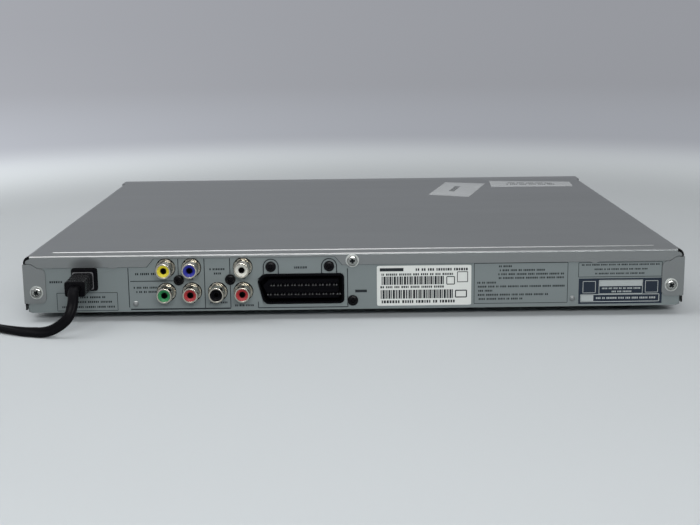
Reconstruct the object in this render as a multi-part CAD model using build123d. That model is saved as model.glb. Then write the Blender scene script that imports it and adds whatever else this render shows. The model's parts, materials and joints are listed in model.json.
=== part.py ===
from build123d import *
import math
import os

# Flat disc player with a motor-driven tray. Millimetres, +Z up, +Y towards the sockets, +X to the left of
# somebody who looks at the sockets. The feet stand on z = 0.

# Case
case_width = 360.0
case_depth = 310.0
case_height = 31.4
foot_height = 5.6
cover_sheet = 0.8
pan_sheet = 0.8
sheet_gap = 0.2
bend_radius = 0.9
side_bend_radius = 4.0
cover_hem = 1.4
flap_width = 12.0
flap_bottom = 5.4
flap_top = 27.1
flap_corner = 3.0
lip_drop = 6.4
lip_step_drop = 1.8
lip_step_inner = 10.2
lip_step_outer = 108.8
lip_step_slope = 4.0
lip_tab_radius = 5.0
lip_tab_drop = 0.7
lip_tab_inset = 49.0
corner_gap = 1.6
corner_relief = 2.0
lip_ear_width = 2.8
lip_ear_slope = 3.8
lip_flap_gap = 0.5
bead_inset = 10.2
bead_width = 2.2
bead_height = 0.6
bead_margin = 14.5
panel_inset = 2.2
panel_top_corner = 2.6
panel_low_corner = 1.5
pan_corner = 3.0
pan_wall = 12.0
dimple_radius = 1.6
dimple_depth = 0.3
dimple_inset = 60.6
dimple_z = 4.4
vent_width = 2.6
vent_length = 22.0
vent_pitch = 7.0
vent_count = 9

# Feet
foot_radius = 11.0
foot_taper = 0.6
pad_radius = 9.4
pad_thickness = 1.2
foot_side_inset = 30.0
foot_rear_inset = 28.0
foot_front_inset = 36.0

# Bezel and keys
bezel_depth = 15.0
bezel_wall = 2.2
bezel_round = 2.0
tongue_reach = 3.0
tongue_wall = 1.6
window_width = 60.0
window_height = 13.0
window_z = 13.0
window_flange = 2.0
window_flange_depth = 1.2
window_recess = 0.3
key_width = 14.0
key_height = 5.5
key_z = 13.5
key_pitch = 19.0
key_inset = 17.0
power_key_inset = 18.0
key_proud = 0.9
key_flange = 1.5
key_flange_depth = 1.0
key_clearance = 0.25
key_travel = 0.5
stem_radius = 2.0
switch_size = 6.0
switch_depth = 3.5
plunger_radius = 1.7
plunger_depth = 0.8
board_thickness = 1.6
front_board_setback = 14.0
front_board_height = 20.0
front_board_inset = 8.0
front_board_lid_gap = 8.0
power_key_board = 24.0
display_width = 58.0
display_height = 11.0
display_depth = 6.0

# Phono jacks
jack_reach = 9.0
jack_pitch = 14.0
jack_row_pitch = 13.5
jack_first_x = 102.4
jack_low_z = 10.7
barrel_radius = 4.15
barrel_wall = 0.5
collar_radius = 5.1
collar_proud = 0.7
collar_clearance = 0.3
collar_notch = 0.9
insert_clearance = 0.05
insert_recess = 0.5
pin_hole_radius = 1.65
pin_hole_depth = 8.0
housing_depth = 13.0
housing_width = 27.4
housing_head = 5.4

# Television socket
scart_width = 47.2
scart_height = 16.6
scart_x = 5.5
scart_z = 3.5
scart_tip_drop = 3.4
scart_slant = 3.4
scart_round = 2.4
scart_wall = 1.1
scart_moat = 1.9
scart_proud = 1.0
scart_recess = 1.0
scart_depth = 15.0
scart_base_depth = 5.0
contact_pitch = 3.81
contact_drop = 0.4
upper_contacts = 10
lower_contacts = 11
contact_row_pitch = 5.08
contact_width = 2.4
contact_thickness = 0.6
contact_length = 6.0
slot_width = 3.0
slot_height = 1.4
slot_depth = 7.0
ear_radius = 4.4
ear_groove = 0.45
ear_groove_depth = 0.3
ear_depth = 2.5
ear_screw_z = 24.3
ear_screw_inset = 8.0
ear_screw_shift = 0.5
side_ear_x = 0.7
side_ear_z = 5.0
side_ear_half = 3.5

# Screws
cover_head_radius = 3.5
cover_head_height = 2.0
cover_shank_radius = 1.5
cover_screw_length = 6.0
cover_screw_z = 11.6
cover_screw_inset = 7.0
lip_screw_x = 0.8
lip_screw_z = 27.3
socket_head_radius = 2.85
socket_head_height = 1.8
socket_shank_radius = 1.3
socket_screw_length = 6.0
shank_clearance = 0.2
recess_width = 0.8
recess_depth = 1.1

# Strain relief
bushing_inset = 33.8
bushing_z = 18.7
bushing_width = 13.4
bushing_height = 12.2
bushing_flange = 1.5
bushing_round = 1.4
bushing_neck = 1.2
bushing_lock = 2.4
sleeve_shift = 1.0
sleeve_drop = 0.7
sleeve_length = 19.8
sleeve_width = 10.8
sleeve_height = 9.2
sleeve_end_width = 10.2
sleeve_end_height = 8.4
rib_count = 5
rib_thickness = 1.6
rib_depth = 0.7
sleeve_end = 3.4

# Boards behind the sockets and beside the loader
main_board_lift = 1.0
main_board_low_x = -50.0
main_board_high_x = 116.0
main_board_front_gap = 12.4
power_board_lift = 3.0
power_board_width = 126.0
power_board_inset = 8.0
power_board_front_gap = 30.0
power_board_rear_gap = 10.0
chips = ((30.0, 22.0, 20.0, 20.0, 1.6), (62.0, 20.0, 12.0, 20.0, 1.2), (92.0, 24.0, 10.0, 10.0, 1.4))
main_cans = ((112.0, 24.0, 3.2, 8.0), (122.0, 30.0, 3.2, 8.0), (134.0, 44.0, 4.0, 10.0), (14.0, 24.0, 3.2, 8.0))
power_cans = ((90.0, 44.0, 8.0, 21.0), (18.0, 84.0, 5.0, 16.0), (18.0, 66.0, 5.0, 16.0))
connector_depth = 5.0
connector_height = 4.5
connector_length = 24.0
transformer_width = 28.0
transformer_depth = 24.0
transformer_height = 21.0
transformer_rim = 4.0
transformer_x = 46.0
transformer_back = 68.0
sink_x = 32.0
sink_thickness = 3.0
sink_length = 34.0
sink_height = 20.0
filter_width = 20.0
filter_depth = 16.0
filter_height = 14.0
filter_x = 96.0
filter_back = 18.0
boss_radius = 3.0
boss_inset = 6.0
boss_rear_inset = 22.0
board_gap = 0.5
ribbon_thickness = 0.4
ribbon_end = 2.0
ribbon_rest = 14.0
loader_ribbon_width = 20.0
loader_ribbon_shift = 27.0
board_ribbon_width = 12.0
board_ribbon_x = 66.0
core_radius = 1.3
core_gap = 1.6
core_bend = 20.0

# Loader
loader_x = -45.0
disc_inset = 77.0
disc_radius = 60.0
tray_travel = 140.0
tray_half = 65.0
tray_underside = 22.0
tray_floor = 1.6
tray_rim = 4.6
tray_tail = 106.0
recess_gap = 1.2
recess_small_radius = 40.6
recess_small_depth = 0.5
slot_half = 17.0
front_lip = 2.4
lid_half = 67.0
lid_z = 18.8
lid_height = 14.0
lid_gap = 0.5
rail_gap = 0.4
rail_lift = 0.2
frame_front_inset = 9.5
frame_length = 200.0
frame_wall = 3.0
frame_deck_z = 9.4
frame_deck = 2.0
ledge_depth = 3.9
ledge_thickness = 1.2
lip_thickness = 1.2
bridge_z = 28.4
bridge_thickness = 1.6
bridge_half_length = 26.0
puck_gap = 0.4
puck_radius = 12.5
puck_flange = 2.6
puck_flange_thickness = 1.0
puck_seat_gap = 0.3
puck_hole_gap = 0.8

# Traverse with its turntable and sled
tilt_degrees = 2.5
traverse_side_room = 18.0
traverse_front = 21.5
traverse_rear = 102.5
traverse_z = 12.4
traverse_plate = 1.6
traverse_height = 6.4
traverse_wall = 2.0
traverse_gap = 3.0
hinge_back = 110.5
hinge_z = 16.0
hinge_pin_radius = 2.0
hinge_ear_radius = 3.4
hinge_clearance = 0.06
hinge_boss_width = 5.7
turntable_radius = 14.5
turntable_seat = 24.9
turntable_thickness = 1.0
cone_radius = 7.3
cone_height = 2.3
hub_radius = 4.0
spindle_radius = 11.5
spindle_height = 6.6
shaft_radius = 1.0
running_gap = 0.05
rod_inset = 3.0
rod_radius = 1.5
rod_z = 17.2
sled_half = 24.0
sled_front = 10.0
sled_rear = 18.0
sled_z = 14.4
sled_top = 20.6
lens_start = 24.0
sled_travel = 36.0
lens_radius = 3.2
lens_height = 2.2
lens_tower = 8.0

# Gears
tray_module = 1.25
tray_small_teeth = 16
tray_large_teeth = 24
pulley_teeth = 12
tray_gear_x = 40.0
gear_y_inset = 29.5
small_gear_z = (19.3, 21.5)
large_gear_z = (14.6, 16.6)
rack_depth = 2.4
rack_back = 3.4
sled_module = 0.6
sled_gear_back = 54.5
pinion_shift = -2.9
motor_shaft = 0.8
sled_small_teeth = 12
sled_large_teeth = 20
sled_pinion_teeth = 12
sled_rack_z = (14.5, 15.7)
sled_mesh_z = (14.3, 15.9)
sled_drive_z = (16.3, 17.9)
backlash = 0.12
addendum_share = 0.8
dedendum_share = 1.1
post_radius = 1.5
pulley_radius = 8.5
motor_pulley_radius = 3.2
pulley_z = (17.6, 20.6)
belt_size = 1.3
belt_clearance = 0.2
pulley_rim = 1.3
motor_x = -22.0
loading_motor_radius = 10.0
loading_motor_z = 11.6
loading_motor_height = 5.2
sled_motor_radius = 5.2
sled_motor_z = 8.8
sled_motor_height = 6.6

# Cam slider
cam_travel = 14.0
cam_front = 2.0
cam_plate = 3.0
cam_gap = 0.3
cam_low_z = 8.6
cam_high_z = 19.4
cam_left = -56.0
cam_right = 18.0
cam_pin_x = 4.0
cam_pin_z = 17.0
cam_pin_radius = 1.5
cam_slot_gap = 0.3
cam_flange_depth = 6.0
cam_flange_thickness = 1.4
cam_peg_x = -50.0
cam_peg_foot = 8.0
cam_peg_step = 1.6
cam_peg_gap = 0.3
groove_gap = 0.25
groove_rib = 1.2
groove_depth = 2.0
groove_reach = 4.0

# Mains lead: a flat twin cord
cord_width = 5.6
cord_height = 3.4
cord_section = 4.4
lead_route = (
    (0.0, 5.0, 23.6),
    (-1.0, 9.0, 19.8),
    (-0.1, 11.6, 14.1),
    (2.0, 12.5, 10.2),
    (6.1, 12.4, 6.7),
    (11.8, 11.3, 3.6),
    (18.3, 9.4, 2.4),
    (26.8, 6.4, 2.3),
    (34.8, 2.2, 2.3),
    (42.8, -3.0, 2.3),
    (52.3, -8.4, 2.3),
    (64.8, -13.0, 2.4),
    (80.8, -15.0, 2.4),
)
coil_reach = 110.0
coil_rear_shift = 15.0
coil_start_radius = 42.6
coil_pitch = 6.25
coil_half_turns = 6
coil_layer_pitch = 4.1
coil_lift = 0.7
tail_length = 26.0
neck_length = 24.0
plug_body_length = 36.0
plug_root_width = 26.0
plug_waist_width = 17.0
plug_tip_width = 13.0
plug_tip_height = 10.0
plug_height = 13.6
plug_corner = 0.25
neck_width = 7.0
neck_height = 5.8
plug_pin_radius = 2.0
plug_pin_length = 19.0
plug_pin_pitch = 18.6
tie_width = 10.0
tie_thickness = 0.5
tie_clearance = 0.8

# Places that follow from the sizes above
half_width = case_width / 2
front_y = -(case_depth + jack_reach) / 2
rear_y = front_y + case_depth
jack_tip_y = rear_y + jack_reach
panel_y = rear_y - cover_sheet
panel_in_y = panel_y - pan_sheet
bezel_back_y = front_y + bezel_depth
bezel_in_y = front_y + bezel_wall
side_in = half_width - cover_sheet
pan_half = side_in - sheet_gap
panel_half = half_width - panel_inset
floor_z = foot_height + pan_sheet
top_z = foot_height + case_height
roof_z = top_z - cover_sheet
lip_z = top_z - lip_drop
lip_high_z = top_z - lip_step_drop
cover_front_y = bezel_back_y + sheet_gap
deck_top = frame_deck_z + frame_deck
disc_y = front_y + disc_inset
lens_y = disc_y + lens_start
tray_front_y = front_y + front_lip
tray_rear_y = disc_y + tray_tail
tray_top = tray_underside + tray_rim
recess_z = tray_underside + tray_floor
frame_front_y = front_y + frame_front_inset
frame_rear_y = frame_front_y + frame_length
lid_x = (loader_x - lid_half, loader_x + lid_half)
loader_ribbon_x = loader_x + loader_ribbon_shift
frame_in = tray_half + rail_gap
frame_half = frame_in + frame_wall
gear_y = front_y + gear_y_inset
jack_columns = tuple(jack_first_x - i * jack_pitch for i in range(4))
jack_low = foot_height + jack_low_z
jack_high = jack_low + jack_row_pitch
main_board_x = (main_board_low_x, main_board_high_x)
main_board_y = (frame_rear_y + main_board_front_gap, panel_in_y - board_gap)
main_board_z = floor_z + main_board_lift
main_board_top = main_board_z + board_thickness
power_board_x = (half_width - power_board_inset - power_board_width, half_width - power_board_inset)
power_board_y = (bezel_back_y + power_board_front_gap, main_board_y[0] - power_board_rear_gap)
power_board_z = floor_z + power_board_lift
power_board_top = power_board_z + board_thickness
scart_low_z = foot_height + scart_z
scart_high_z = scart_low_z + scart_height
scart_mid_x = scart_x + (scart_width - scart_slant) / 2
scart_mid_z = scart_low_z + scart_height / 2
bushing_x = half_width - bushing_inset
sleeve_x = bushing_x + sleeve_shift
sleeve_z = foot_height + bushing_z - sleeve_drop
sleeve_tip_y = panel_y + bushing_flange + sleeve_length
traverse_half = sled_half + traverse_side_room
rod_half = sled_half - rod_inset
coil_x = sleeve_x + coil_reach
coil_y = sleeve_tip_y - coil_rear_shift - coil_start_radius


# Small builders
def block(x, y, z):
    """A box between the ends of three ranges."""
    size = Box(x[1] - x[0], y[1] - y[0], z[1] - z[0])
    return Pos((x[0] + x[1]) / 2, (y[0] + y[1]) / 2, (z[0] + z[1]) / 2) * size


def post(x, y, z, radius):
    """An upright cylinder over the range z."""
    return Pos(x, y, (z[0] + z[1]) / 2) * Cylinder(radius, z[1] - z[0])


def rod_y(x, y, z, radius):
    """A cylinder along Y over the range y."""
    return Pos(x, (y[0] + y[1]) / 2, z) * Rot(90, 0, 0) * Cylinder(radius, y[1] - y[0])


def rod_x(x, y, z, radius):
    """A cylinder along X over the range x."""
    return Pos((x[0] + x[1]) / 2, y, z) * Rot(0, 90, 0) * Cylinder(radius, x[1] - x[0])


def outline_xz(points):
    """A flat face in the plane y = 0 with corners (x, z)."""
    return make_face(Polyline(*[(x, 0, z) for x, z in points], close=True))


def along_y(face, y):
    """A face of the plane y = 0 pushed out over the range y."""
    return Pos(0, y[0], 0) * extrude(face, amount=y[1] - y[0], dir=(0, 1, 0))


def outline_xy(points):
    """A flat face in the plane z = 0 with corners (x, y)."""
    return make_face(Polyline(*[(x, y, 0) for x, y in points], close=True))


def along_z(face, z):
    """A face of the plane z = 0 raised over the range z."""
    return Pos(0, 0, z[0]) * extrude(face, amount=z[1] - z[0], dir=(0, 0, 1))


def turned_up(points, x, y):
    """A body turned about an upright axis from corners (radius, z)."""
    face = make_face(Polyline(*[(r, 0, z) for r, z in points], close=True))
    return Pos(x, y, 0) * revolve(face, Axis.Z)


def turned_back(points, x, z):
    """A body turned about an axis along Y from corners (radius, y)."""
    face = make_face(Polyline(*[(r, y, 0) for r, y in points], close=True))
    return Pos(x, 0, z) * revolve(face, Axis.Y)


def save(name, *bodies):
    """Writes one sub-part."""
    shape = bodies[0] if len(bodies) == 1 else Compound(children=list(bodies))
    export_step(shape, f"parts/{name}.step")


# Gears with straight-sided teeth that lie inside the involute
def tooth_points(teeth, module):
    """Half angles and radii at a tooth's root and tip."""
    pitch = teeth * module / 2
    base = pitch * math.cos(math.radians(20))
    tip = pitch + addendum_share * module
    root = pitch - dedendum_share * module
    involute = math.tan(math.radians(20)) - math.radians(20)

    def half_angle(radius):
        """Half the tooth's thickness at a radius, as an angle."""
        pressure = math.acos(min(1.0, base / radius))
        return math.pi / (2 * teeth) - backlash / (2 * pitch) + involute - (math.tan(pressure) - pressure)

    return (root, half_angle(max(root, base))), (tip, half_angle(tip))


def gear(x, y, z, teeth, module, first_tooth):
    """A spur gear over the range z with one tooth centred at the angle first_tooth in degrees."""
    (root, root_half), (tip, tip_half) = tooth_points(teeth, module)
    corners = []
    for i in range(teeth):
        middle = math.radians(first_tooth) + 2 * math.pi * i / teeth
        for radius, angle in ((root, -root_half), (tip, -tip_half), (tip, tip_half), (root, root_half)):
            corners.append((x + radius * math.cos(middle + angle), y + radius * math.sin(middle + angle)))
    return along_z(outline_xy(corners), z)


def rack(pitch_x, back_x, y, z, module, space_y):
    """A rack along Y whose teeth point to -X, with one space centred at space_y."""
    pitch = math.pi * module
    tip_x = pitch_x - addendum_share * module
    root_x = pitch_x + dedendum_share * module
    slope = math.tan(math.radians(20))
    half = pitch / 4 - backlash / 2
    first = math.ceil((y[0] + pitch / 2 - space_y) / pitch - 0.5)
    last = math.floor((y[1] - pitch / 2 - space_y) / pitch - 0.5)
    corners = [(back_x, y[0]), (root_x, y[0])]
    for i in range(first, last + 1):
        middle = space_y + (i + 0.5) * pitch
        root_half = half + dedendum_share * module * slope
        tip_half = half - addendum_share * module * slope
        corners += [(root_x, middle - root_half), (tip_x, middle - tip_half)]
        corners += [(tip_x, middle + tip_half), (root_x, middle + root_half)]
    corners += [(root_x, y[1]), (back_x, y[1])]
    return along_z(outline_xy(corners), z)


def meshing_angle(driver_tooth, teeth, driver_teeth, direction):
    """The first tooth's angle for a gear that meshes with another one whose centre lies in a direction."""
    driver_pitch = 360 / driver_teeth
    offset = (direction + 180 - driver_tooth) % driver_pitch
    return direction + 180 / teeth + offset * driver_teeth / teeth


# Folded top cover: a channel with a stepped rear lip, two side flaps and a bead across its rear
def build_cover():
    """Top cover of folded sheet."""
    skin = block((-half_width, half_width), (cover_front_y, rear_y), (foot_height + cover_hem, top_z))
    skin = fillet(skin.edges().filter_by(Axis.Y).group_by(Axis.Z)[-1], side_bend_radius)
    rear_edges = skin.edges().filter_by(Axis.X).group_by(Axis.Z)[-1].sort_by(Axis.Y)[-1:]
    skin = fillet(rear_edges, bend_radius)
    room = block((-side_in, side_in), (cover_front_y - 1, rear_y + 1), (foot_height, roof_z))
    skin -= fillet(room.edges().filter_by(Axis.Y).group_by(Axis.Z)[-1], side_bend_radius - cover_sheet)
    low, high = foot_height + flap_bottom, foot_height + flap_top
    lip_end = half_width - corner_gap
    ear_in = lip_end - lip_ear_width
    slope_in = ear_in - lip_ear_slope
    bend_x, bend_z = half_width - side_bend_radius, top_z - side_bend_radius
    lip_right = [
        (lip_step_outer + lip_step_slope, lip_z),
        (slope_in, lip_z),
        (ear_in, high + lip_flap_gap),
        (lip_end, high + lip_flap_gap),
        (lip_end, top_z - corner_gap),
        (bend_x, top_z - corner_gap),
        (bend_x, roof_z + sheet_gap / 2),
    ]
    lip_left = [(-x, z) for x, z in reversed(lip_right[1:])]
    lip = along_y(outline_xz(lip_left + [
        (lip_step_inner - lip_step_slope, lip_z),
        (lip_step_inner, lip_high_z),
        (lip_step_outer, lip_high_z),
    ] + lip_right), (panel_y, rear_y))
    edges = lip.edges().filter_by(Axis.Y).group_by(Axis.X)
    tips = [group.sort_by(Axis.Z)[-1] for group in (edges[0], edges[-1])]
    tip_room = top_z - corner_gap - high - lip_flap_gap
    lip = fillet(tips, min(side_bend_radius - corner_gap, tip_room) - sheet_gap)
    for x in (half_width - lip_tab_inset, lip_tab_inset - half_width):
        tab = rod_y(x, (panel_y, rear_y), lip_z - lip_tab_drop + lip_tab_radius, lip_tab_radius)
        lip += tab & block((-half_width, half_width), (panel_y, rear_y), (foot_height, lip_z + 1))
    body = skin + lip
    relief_y = (rear_y - corner_relief, rear_y + 1)
    for side in (-1, 1):
        inner = side * (half_width - flap_width)
        flap = outline_xz([
            (side * half_width, low),
            (inner, low),
            (inner, lip_z - sheet_gap),
            (side * (slope_in + sheet_gap), lip_z - sheet_gap),
            (side * (ear_in - sheet_gap), high),
            (side * half_width, high),
        ])
        corners = flap.vertices().group_by(Axis.X)[0 if side > 0 else -1]
        body += along_y(fillet(corners, flap_corner), (panel_y, rear_y))
        edge = sorted((side * (side_in - sheet_gap / 2), side * (half_width + 1)))
        body -= block(edge, relief_y, (foot_height, low))
        body -= block(edge, relief_y, (high, bend_z))
        bend = block(sorted((side * bend_x, side * (half_width + 1))), relief_y, (bend_z, top_z + 1))
        body -= bend - rod_y(side * bend_x, relief_y, bend_z, side_in - sheet_gap / 2 - bend_x)
        shank = cover_shank_radius + shank_clearance
        x = side * (half_width - cover_screw_inset)
        body -= rod_y(x, (panel_y - 1, rear_y + 1), foot_height + cover_screw_z, shank)
    shank = cover_shank_radius + shank_clearance
    body -= rod_y(lip_screw_x, (panel_y - 1, rear_y + 1), foot_height + lip_screw_z, shank)
    bead_y = rear_y - bead_inset
    bead_half = half_width - bead_margin
    bead = block(
        (-bead_half, bead_half),
        (bead_y - bead_width / 2, bead_y + bead_width / 2),
        (top_z - cover_sheet / 2, top_z + bead_height),
    )
    bead = chamfer(bead.edges().group_by(Axis.Z)[-1], bead_height * 0.7)
    return body + bead


def scart_outline(inset):
    """The television socket's slanted outline, drawn in by an inset."""
    right = scart_x + inset
    tip = scart_x + scart_width - inset
    low = scart_low_z + inset
    high = scart_high_z - inset
    outline = outline_xz([
        (right, low),
        (tip - scart_slant, low),
        (tip, high - scart_tip_drop),
        (tip - scart_tip_drop, high),
        (right, high),
    ])
    rounding = max(scart_round - inset, 0.3)
    return fillet(outline.vertices().group_by(Axis.X)[0], rounding)


def arch_outline(x, radius):
    """The outline of a screw's arch that stands on the television socket."""
    centre_z = foot_height + ear_screw_z
    arch = Pos(x, 0, centre_z) * Rot(90, 0, 0) * Circle(radius)
    return arch + outline_xz([(x - radius, scart_high_z), (x + radius, scart_high_z),
                              (x + radius, centre_z), (x - radius, centre_z)])


ear_places = (scart_x + ear_screw_inset, scart_x + scart_width - ear_screw_inset + ear_screw_shift)
column_a, column_b, column_c, column_d = jack_columns
jack_mid_z = (jack_low + jack_high) / 2
block_screws = (((column_a + column_b) / 2, jack_mid_z), ((column_c + column_d) / 2, jack_mid_z))
socket_screw_places = block_screws + (
    (ear_places[0], foot_height + ear_screw_z),
    (ear_places[1], foot_height + ear_screw_z),
    (side_ear_x, foot_height + side_ear_z),
)
jacks = {
    "yellow": [(column_a, jack_high)],
    "blue": [(column_b, jack_high)],
    "white": [(column_d, jack_high)],
    "green": [(column_a, jack_low)],
    "red": [(column_b, jack_low), (column_d, jack_low)],
    "black": [(column_c, jack_low)],
}
jack_places = [place for places in jacks.values() for place in places]
foot_places = tuple(
    (side * (half_width - foot_side_inset), y)
    for side in (-1, 1)
    for y in (front_y + foot_front_inset, rear_y - foot_rear_inset)
)
loader_post_places = tuple(
    (loader_x + side * (frame_half - 7.0), y)
    for side in (-1, 1)
    for y in (frame_front_y + 12.0, frame_rear_y - 8.0)
)
main_boss_places = tuple(
    (x, y)
    for x in (main_board_x[0] + boss_inset, main_board_x[1] - boss_inset)
    for y in (main_board_y[0] + boss_inset, main_board_y[1] - boss_rear_inset)
)
power_boss_places = tuple(
    (x, y)
    for x in (power_board_x[0] + boss_inset, power_board_x[1] - boss_inset)
    for y in (power_board_y[0] + boss_inset, power_board_y[1] - boss_inset)
)


# Pan: floor, upright rear panel with the socket openings, low side walls and the bosses of what stands in it
def build_pan():
    """Chassis pan of bent sheet."""
    floor = block((-pan_half, pan_half), (cover_front_y, panel_y), (foot_height, floor_z))
    floor = chamfer(floor.edges().filter_by(Axis.Z).group_by(Axis.Y)[-1], pan_corner)
    panel = block((-panel_half, panel_half), (panel_in_y, panel_y), (foot_height, roof_z - sheet_gap))
    panel = chamfer(panel.edges().filter_by(Axis.Y).group_by(Axis.Z)[-1], panel_top_corner)
    panel = chamfer(panel.edges().filter_by(Axis.Y).group_by(Axis.Z)[0], panel_low_corner)
    body = floor + panel
    for side in (-1, 1):
        wall = sorted((side * (pan_half - pan_sheet), side * pan_half))
        body += block(wall, (cover_front_y, panel_y - pan_corner), (floor_z, floor_z + pan_wall))
    through = (panel_in_y - 1, panel_y + 1)
    for x, z in jack_places:
        body -= rod_y(x, through, z, collar_radius + collar_clearance)
    for x, z in socket_screw_places:
        body -= rod_y(x, through, z, socket_shank_radius + shank_clearance)
    body -= along_y(scart_outline(-sheet_gap), through)
    for x in ear_places:
        groove = arch_outline(x, ear_radius) - arch_outline(x, ear_radius - ear_groove)
        body -= along_y(groove, (panel_y - ear_groove_depth, panel_y + 1))
    neck_x = bushing_width / 2 - bushing_neck + sheet_gap
    neck_z = bushing_height / 2 - bushing_neck + sheet_gap
    middle_z = foot_height + bushing_z
    body -= block((bushing_x - neck_x, bushing_x + neck_x), through, (middle_z - neck_z, middle_z + neck_z))
    shank = cover_shank_radius + shank_clearance
    for side in (-1, 1):
        dimple_x = side * (half_width - dimple_inset)
        body -= rod_y(dimple_x, (panel_y - dimple_depth, panel_y + 1), foot_height + dimple_z, dimple_radius)
        x = side * (half_width - cover_screw_inset)
        body -= rod_y(x, through, foot_height + cover_screw_z, shank)
    body -= rod_y(lip_screw_x, through, foot_height + lip_screw_z, shank)
    vent_middle = sum(power_board_x) / 2
    for i in range(vent_count):
        x = vent_middle + (i - (vent_count - 1) / 2) * vent_pitch
        for y in (power_board_y[0] + 30, power_board_y[1] - 30):
            slot = block((x - vent_width / 2, x + vent_width / 2), (y - vent_length / 2, y + vent_length / 2),
                         (foot_height - 1, floor_z + 1))
            body -= slot
    for places, lift in ((main_boss_places, main_board_z), (power_boss_places, power_board_z),
                         (loader_post_places, frame_deck_z)):
        for x, y in places:
            body += post(x, y, (floor_z - pan_sheet / 2, lift), boss_radius)
    return body


save("top_cover", build_cover())
save("chassis_pan", build_pan())
save("feet", *[
    turned_up([(0, pad_thickness), (foot_radius - foot_taper, pad_thickness), (foot_radius, foot_height),
               (0, foot_height)], x, y)
    for x, y in foot_places
])
save("foot_pads", *[post(x, y, (0, pad_thickness), pad_radius) for x, y in foot_places])


# Bezel: a moulded tray-like front with the tray's mouth, the window and the key holes
keys = {
    "button_stop": half_width - key_inset,
    "button_play": half_width - key_inset - key_pitch,
    "button_open": half_width - key_inset - 2 * key_pitch,
    "button_power": power_key_inset - half_width,
}
window_centre = (lid_x[1] + keys["button_open"] - key_width / 2) / 2
key_mid_z = foot_height + key_z
window_mid_z = foot_height + window_z
front_board_right = (lid_x[1] + front_board_lid_gap, half_width - front_board_inset)
front_board_left = (front_board_inset - half_width, front_board_inset - half_width + power_key_board)
front_board_y = (front_y + front_board_setback, front_y + front_board_setback + board_thickness)
board_mid_z = foot_height + case_height / 2
board_z = (board_mid_z - front_board_height / 2, board_mid_z + front_board_height / 2)
bezel_post_places = tuple(
    (x, board_z[1] - 3) for low, high in (front_board_right, front_board_left) for x in (low + 4, high - 4)
)


def build_bezel():
    """Moulded front bezel."""
    body = block((-half_width, half_width), (front_y, bezel_back_y), (foot_height, top_z))
    body = fillet(body.edges().filter_by(Axis.Y), bezel_round / 2)
    body = fillet(body.faces().sort_by(Axis.Y)[0].edges(), bezel_round)
    body -= block((-half_width + bezel_wall, half_width - bezel_wall), (bezel_in_y, bezel_back_y + 1),
                  (foot_height + bezel_wall, top_z - bezel_wall))
    tongue_half = side_in - sheet_gap
    tongue_top = roof_z - sheet_gap
    tongue_y = (bezel_back_y - 2, bezel_back_y + tongue_reach)
    low = foot_height + pan_sheet + pan_wall + 2
    tongue = block((-tongue_half, tongue_half), tongue_y, (low, tongue_top))
    tongue_edges = tongue.edges().filter_by(Axis.Y).group_by(Axis.Z)[-1]
    tongue = fillet(tongue_edges, side_bend_radius - cover_sheet - sheet_gap)
    tongue -= block((-tongue_half + tongue_wall, tongue_half - tongue_wall), (tongue_y[0] - 1, tongue_y[1] + 1),
                    (low - 1, tongue_top - tongue_wall))
    body += tongue
    for x, z in bezel_post_places:
        body += rod_y(x, (bezel_in_y - 0.5, front_board_y[0]), z, boss_radius)
    mouth = (front_y - 1, bezel_in_y + 1)
    body -= block((lid_x[0] - lid_gap, lid_x[1] + lid_gap), mouth,
                  (lid_z - lid_gap, lid_z + lid_height + lid_gap))
    body -= block((window_centre - window_width / 2, window_centre + window_width / 2), mouth,
                  (window_mid_z - window_height / 2, window_mid_z + window_height / 2))
    for x in keys.values():
        body -= block((x - key_width / 2, x + key_width / 2), mouth,
                      (key_mid_z - key_height / 2, key_mid_z + key_height / 2))
    return body


def build_window():
    """Clear window plate with a flange behind the bezel's wall."""
    inner_x = window_width / 2 - sheet_gap
    inner_z = window_height / 2 - sheet_gap
    plate = block((window_centre - inner_x, window_centre + inner_x), (front_y + window_recess, bezel_in_y),
                  (window_mid_z - inner_z, window_mid_z + inner_z))
    flange_x = window_width / 2 + window_flange
    flange_z = window_height / 2 + window_flange
    return plate + block((window_centre - flange_x, window_centre + flange_x),
                         (bezel_in_y, bezel_in_y + window_flange_depth),
                         (window_mid_z - flange_z, window_mid_z + flange_z))


switch_front_y = front_board_y[0] - switch_depth
plunger_y = switch_front_y - plunger_depth
stem_y = plunger_y - key_travel - 0.05


def build_key(x):
    """A key cap with its flange behind the wall and a stem to its switch."""
    cap_x = key_width / 2 - key_clearance
    cap_z = key_height / 2 - key_clearance
    cap = block((x - cap_x, x + cap_x), (front_y - key_proud, bezel_in_y + key_clearance),
                (key_mid_z - cap_z, key_mid_z + cap_z))
    cap = fillet(cap.faces().sort_by(Axis.Y)[0].edges(), key_clearance)
    flange_x = key_width / 2 + key_flange
    flange_z = key_height / 2 + key_flange
    flange_y = (bezel_in_y + key_clearance / 2, bezel_in_y + key_clearance / 2 + key_flange_depth)
    flange = block((x - flange_x, x + flange_x), flange_y, (key_mid_z - flange_z, key_mid_z + flange_z))
    return cap + flange + rod_y(x, (flange_y[0], stem_y), key_mid_z, stem_radius)


save("front_bezel", build_bezel())
save("display_window", build_window())
for name, x in keys.items():
    save(name, build_key(x))
save("front_board", *[block(x, front_board_y, board_z) for x in (front_board_right, front_board_left)])
save("display_module", block(
    (window_centre - display_width / 2, window_centre + display_width / 2),
    (front_board_y[0] - display_depth, front_board_y[0]),
    (window_mid_z - display_height / 2, window_mid_z + display_height / 2),
))
save("tact_switches", *[
    block((x - switch_size / 2, x + switch_size / 2), (switch_front_y, front_board_y[0]),
          (key_mid_z - switch_size / 2, key_mid_z + switch_size / 2))
    + rod_y(x, (plunger_y, switch_front_y), key_mid_z, plunger_radius)
    for x in keys.values()
])


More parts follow.
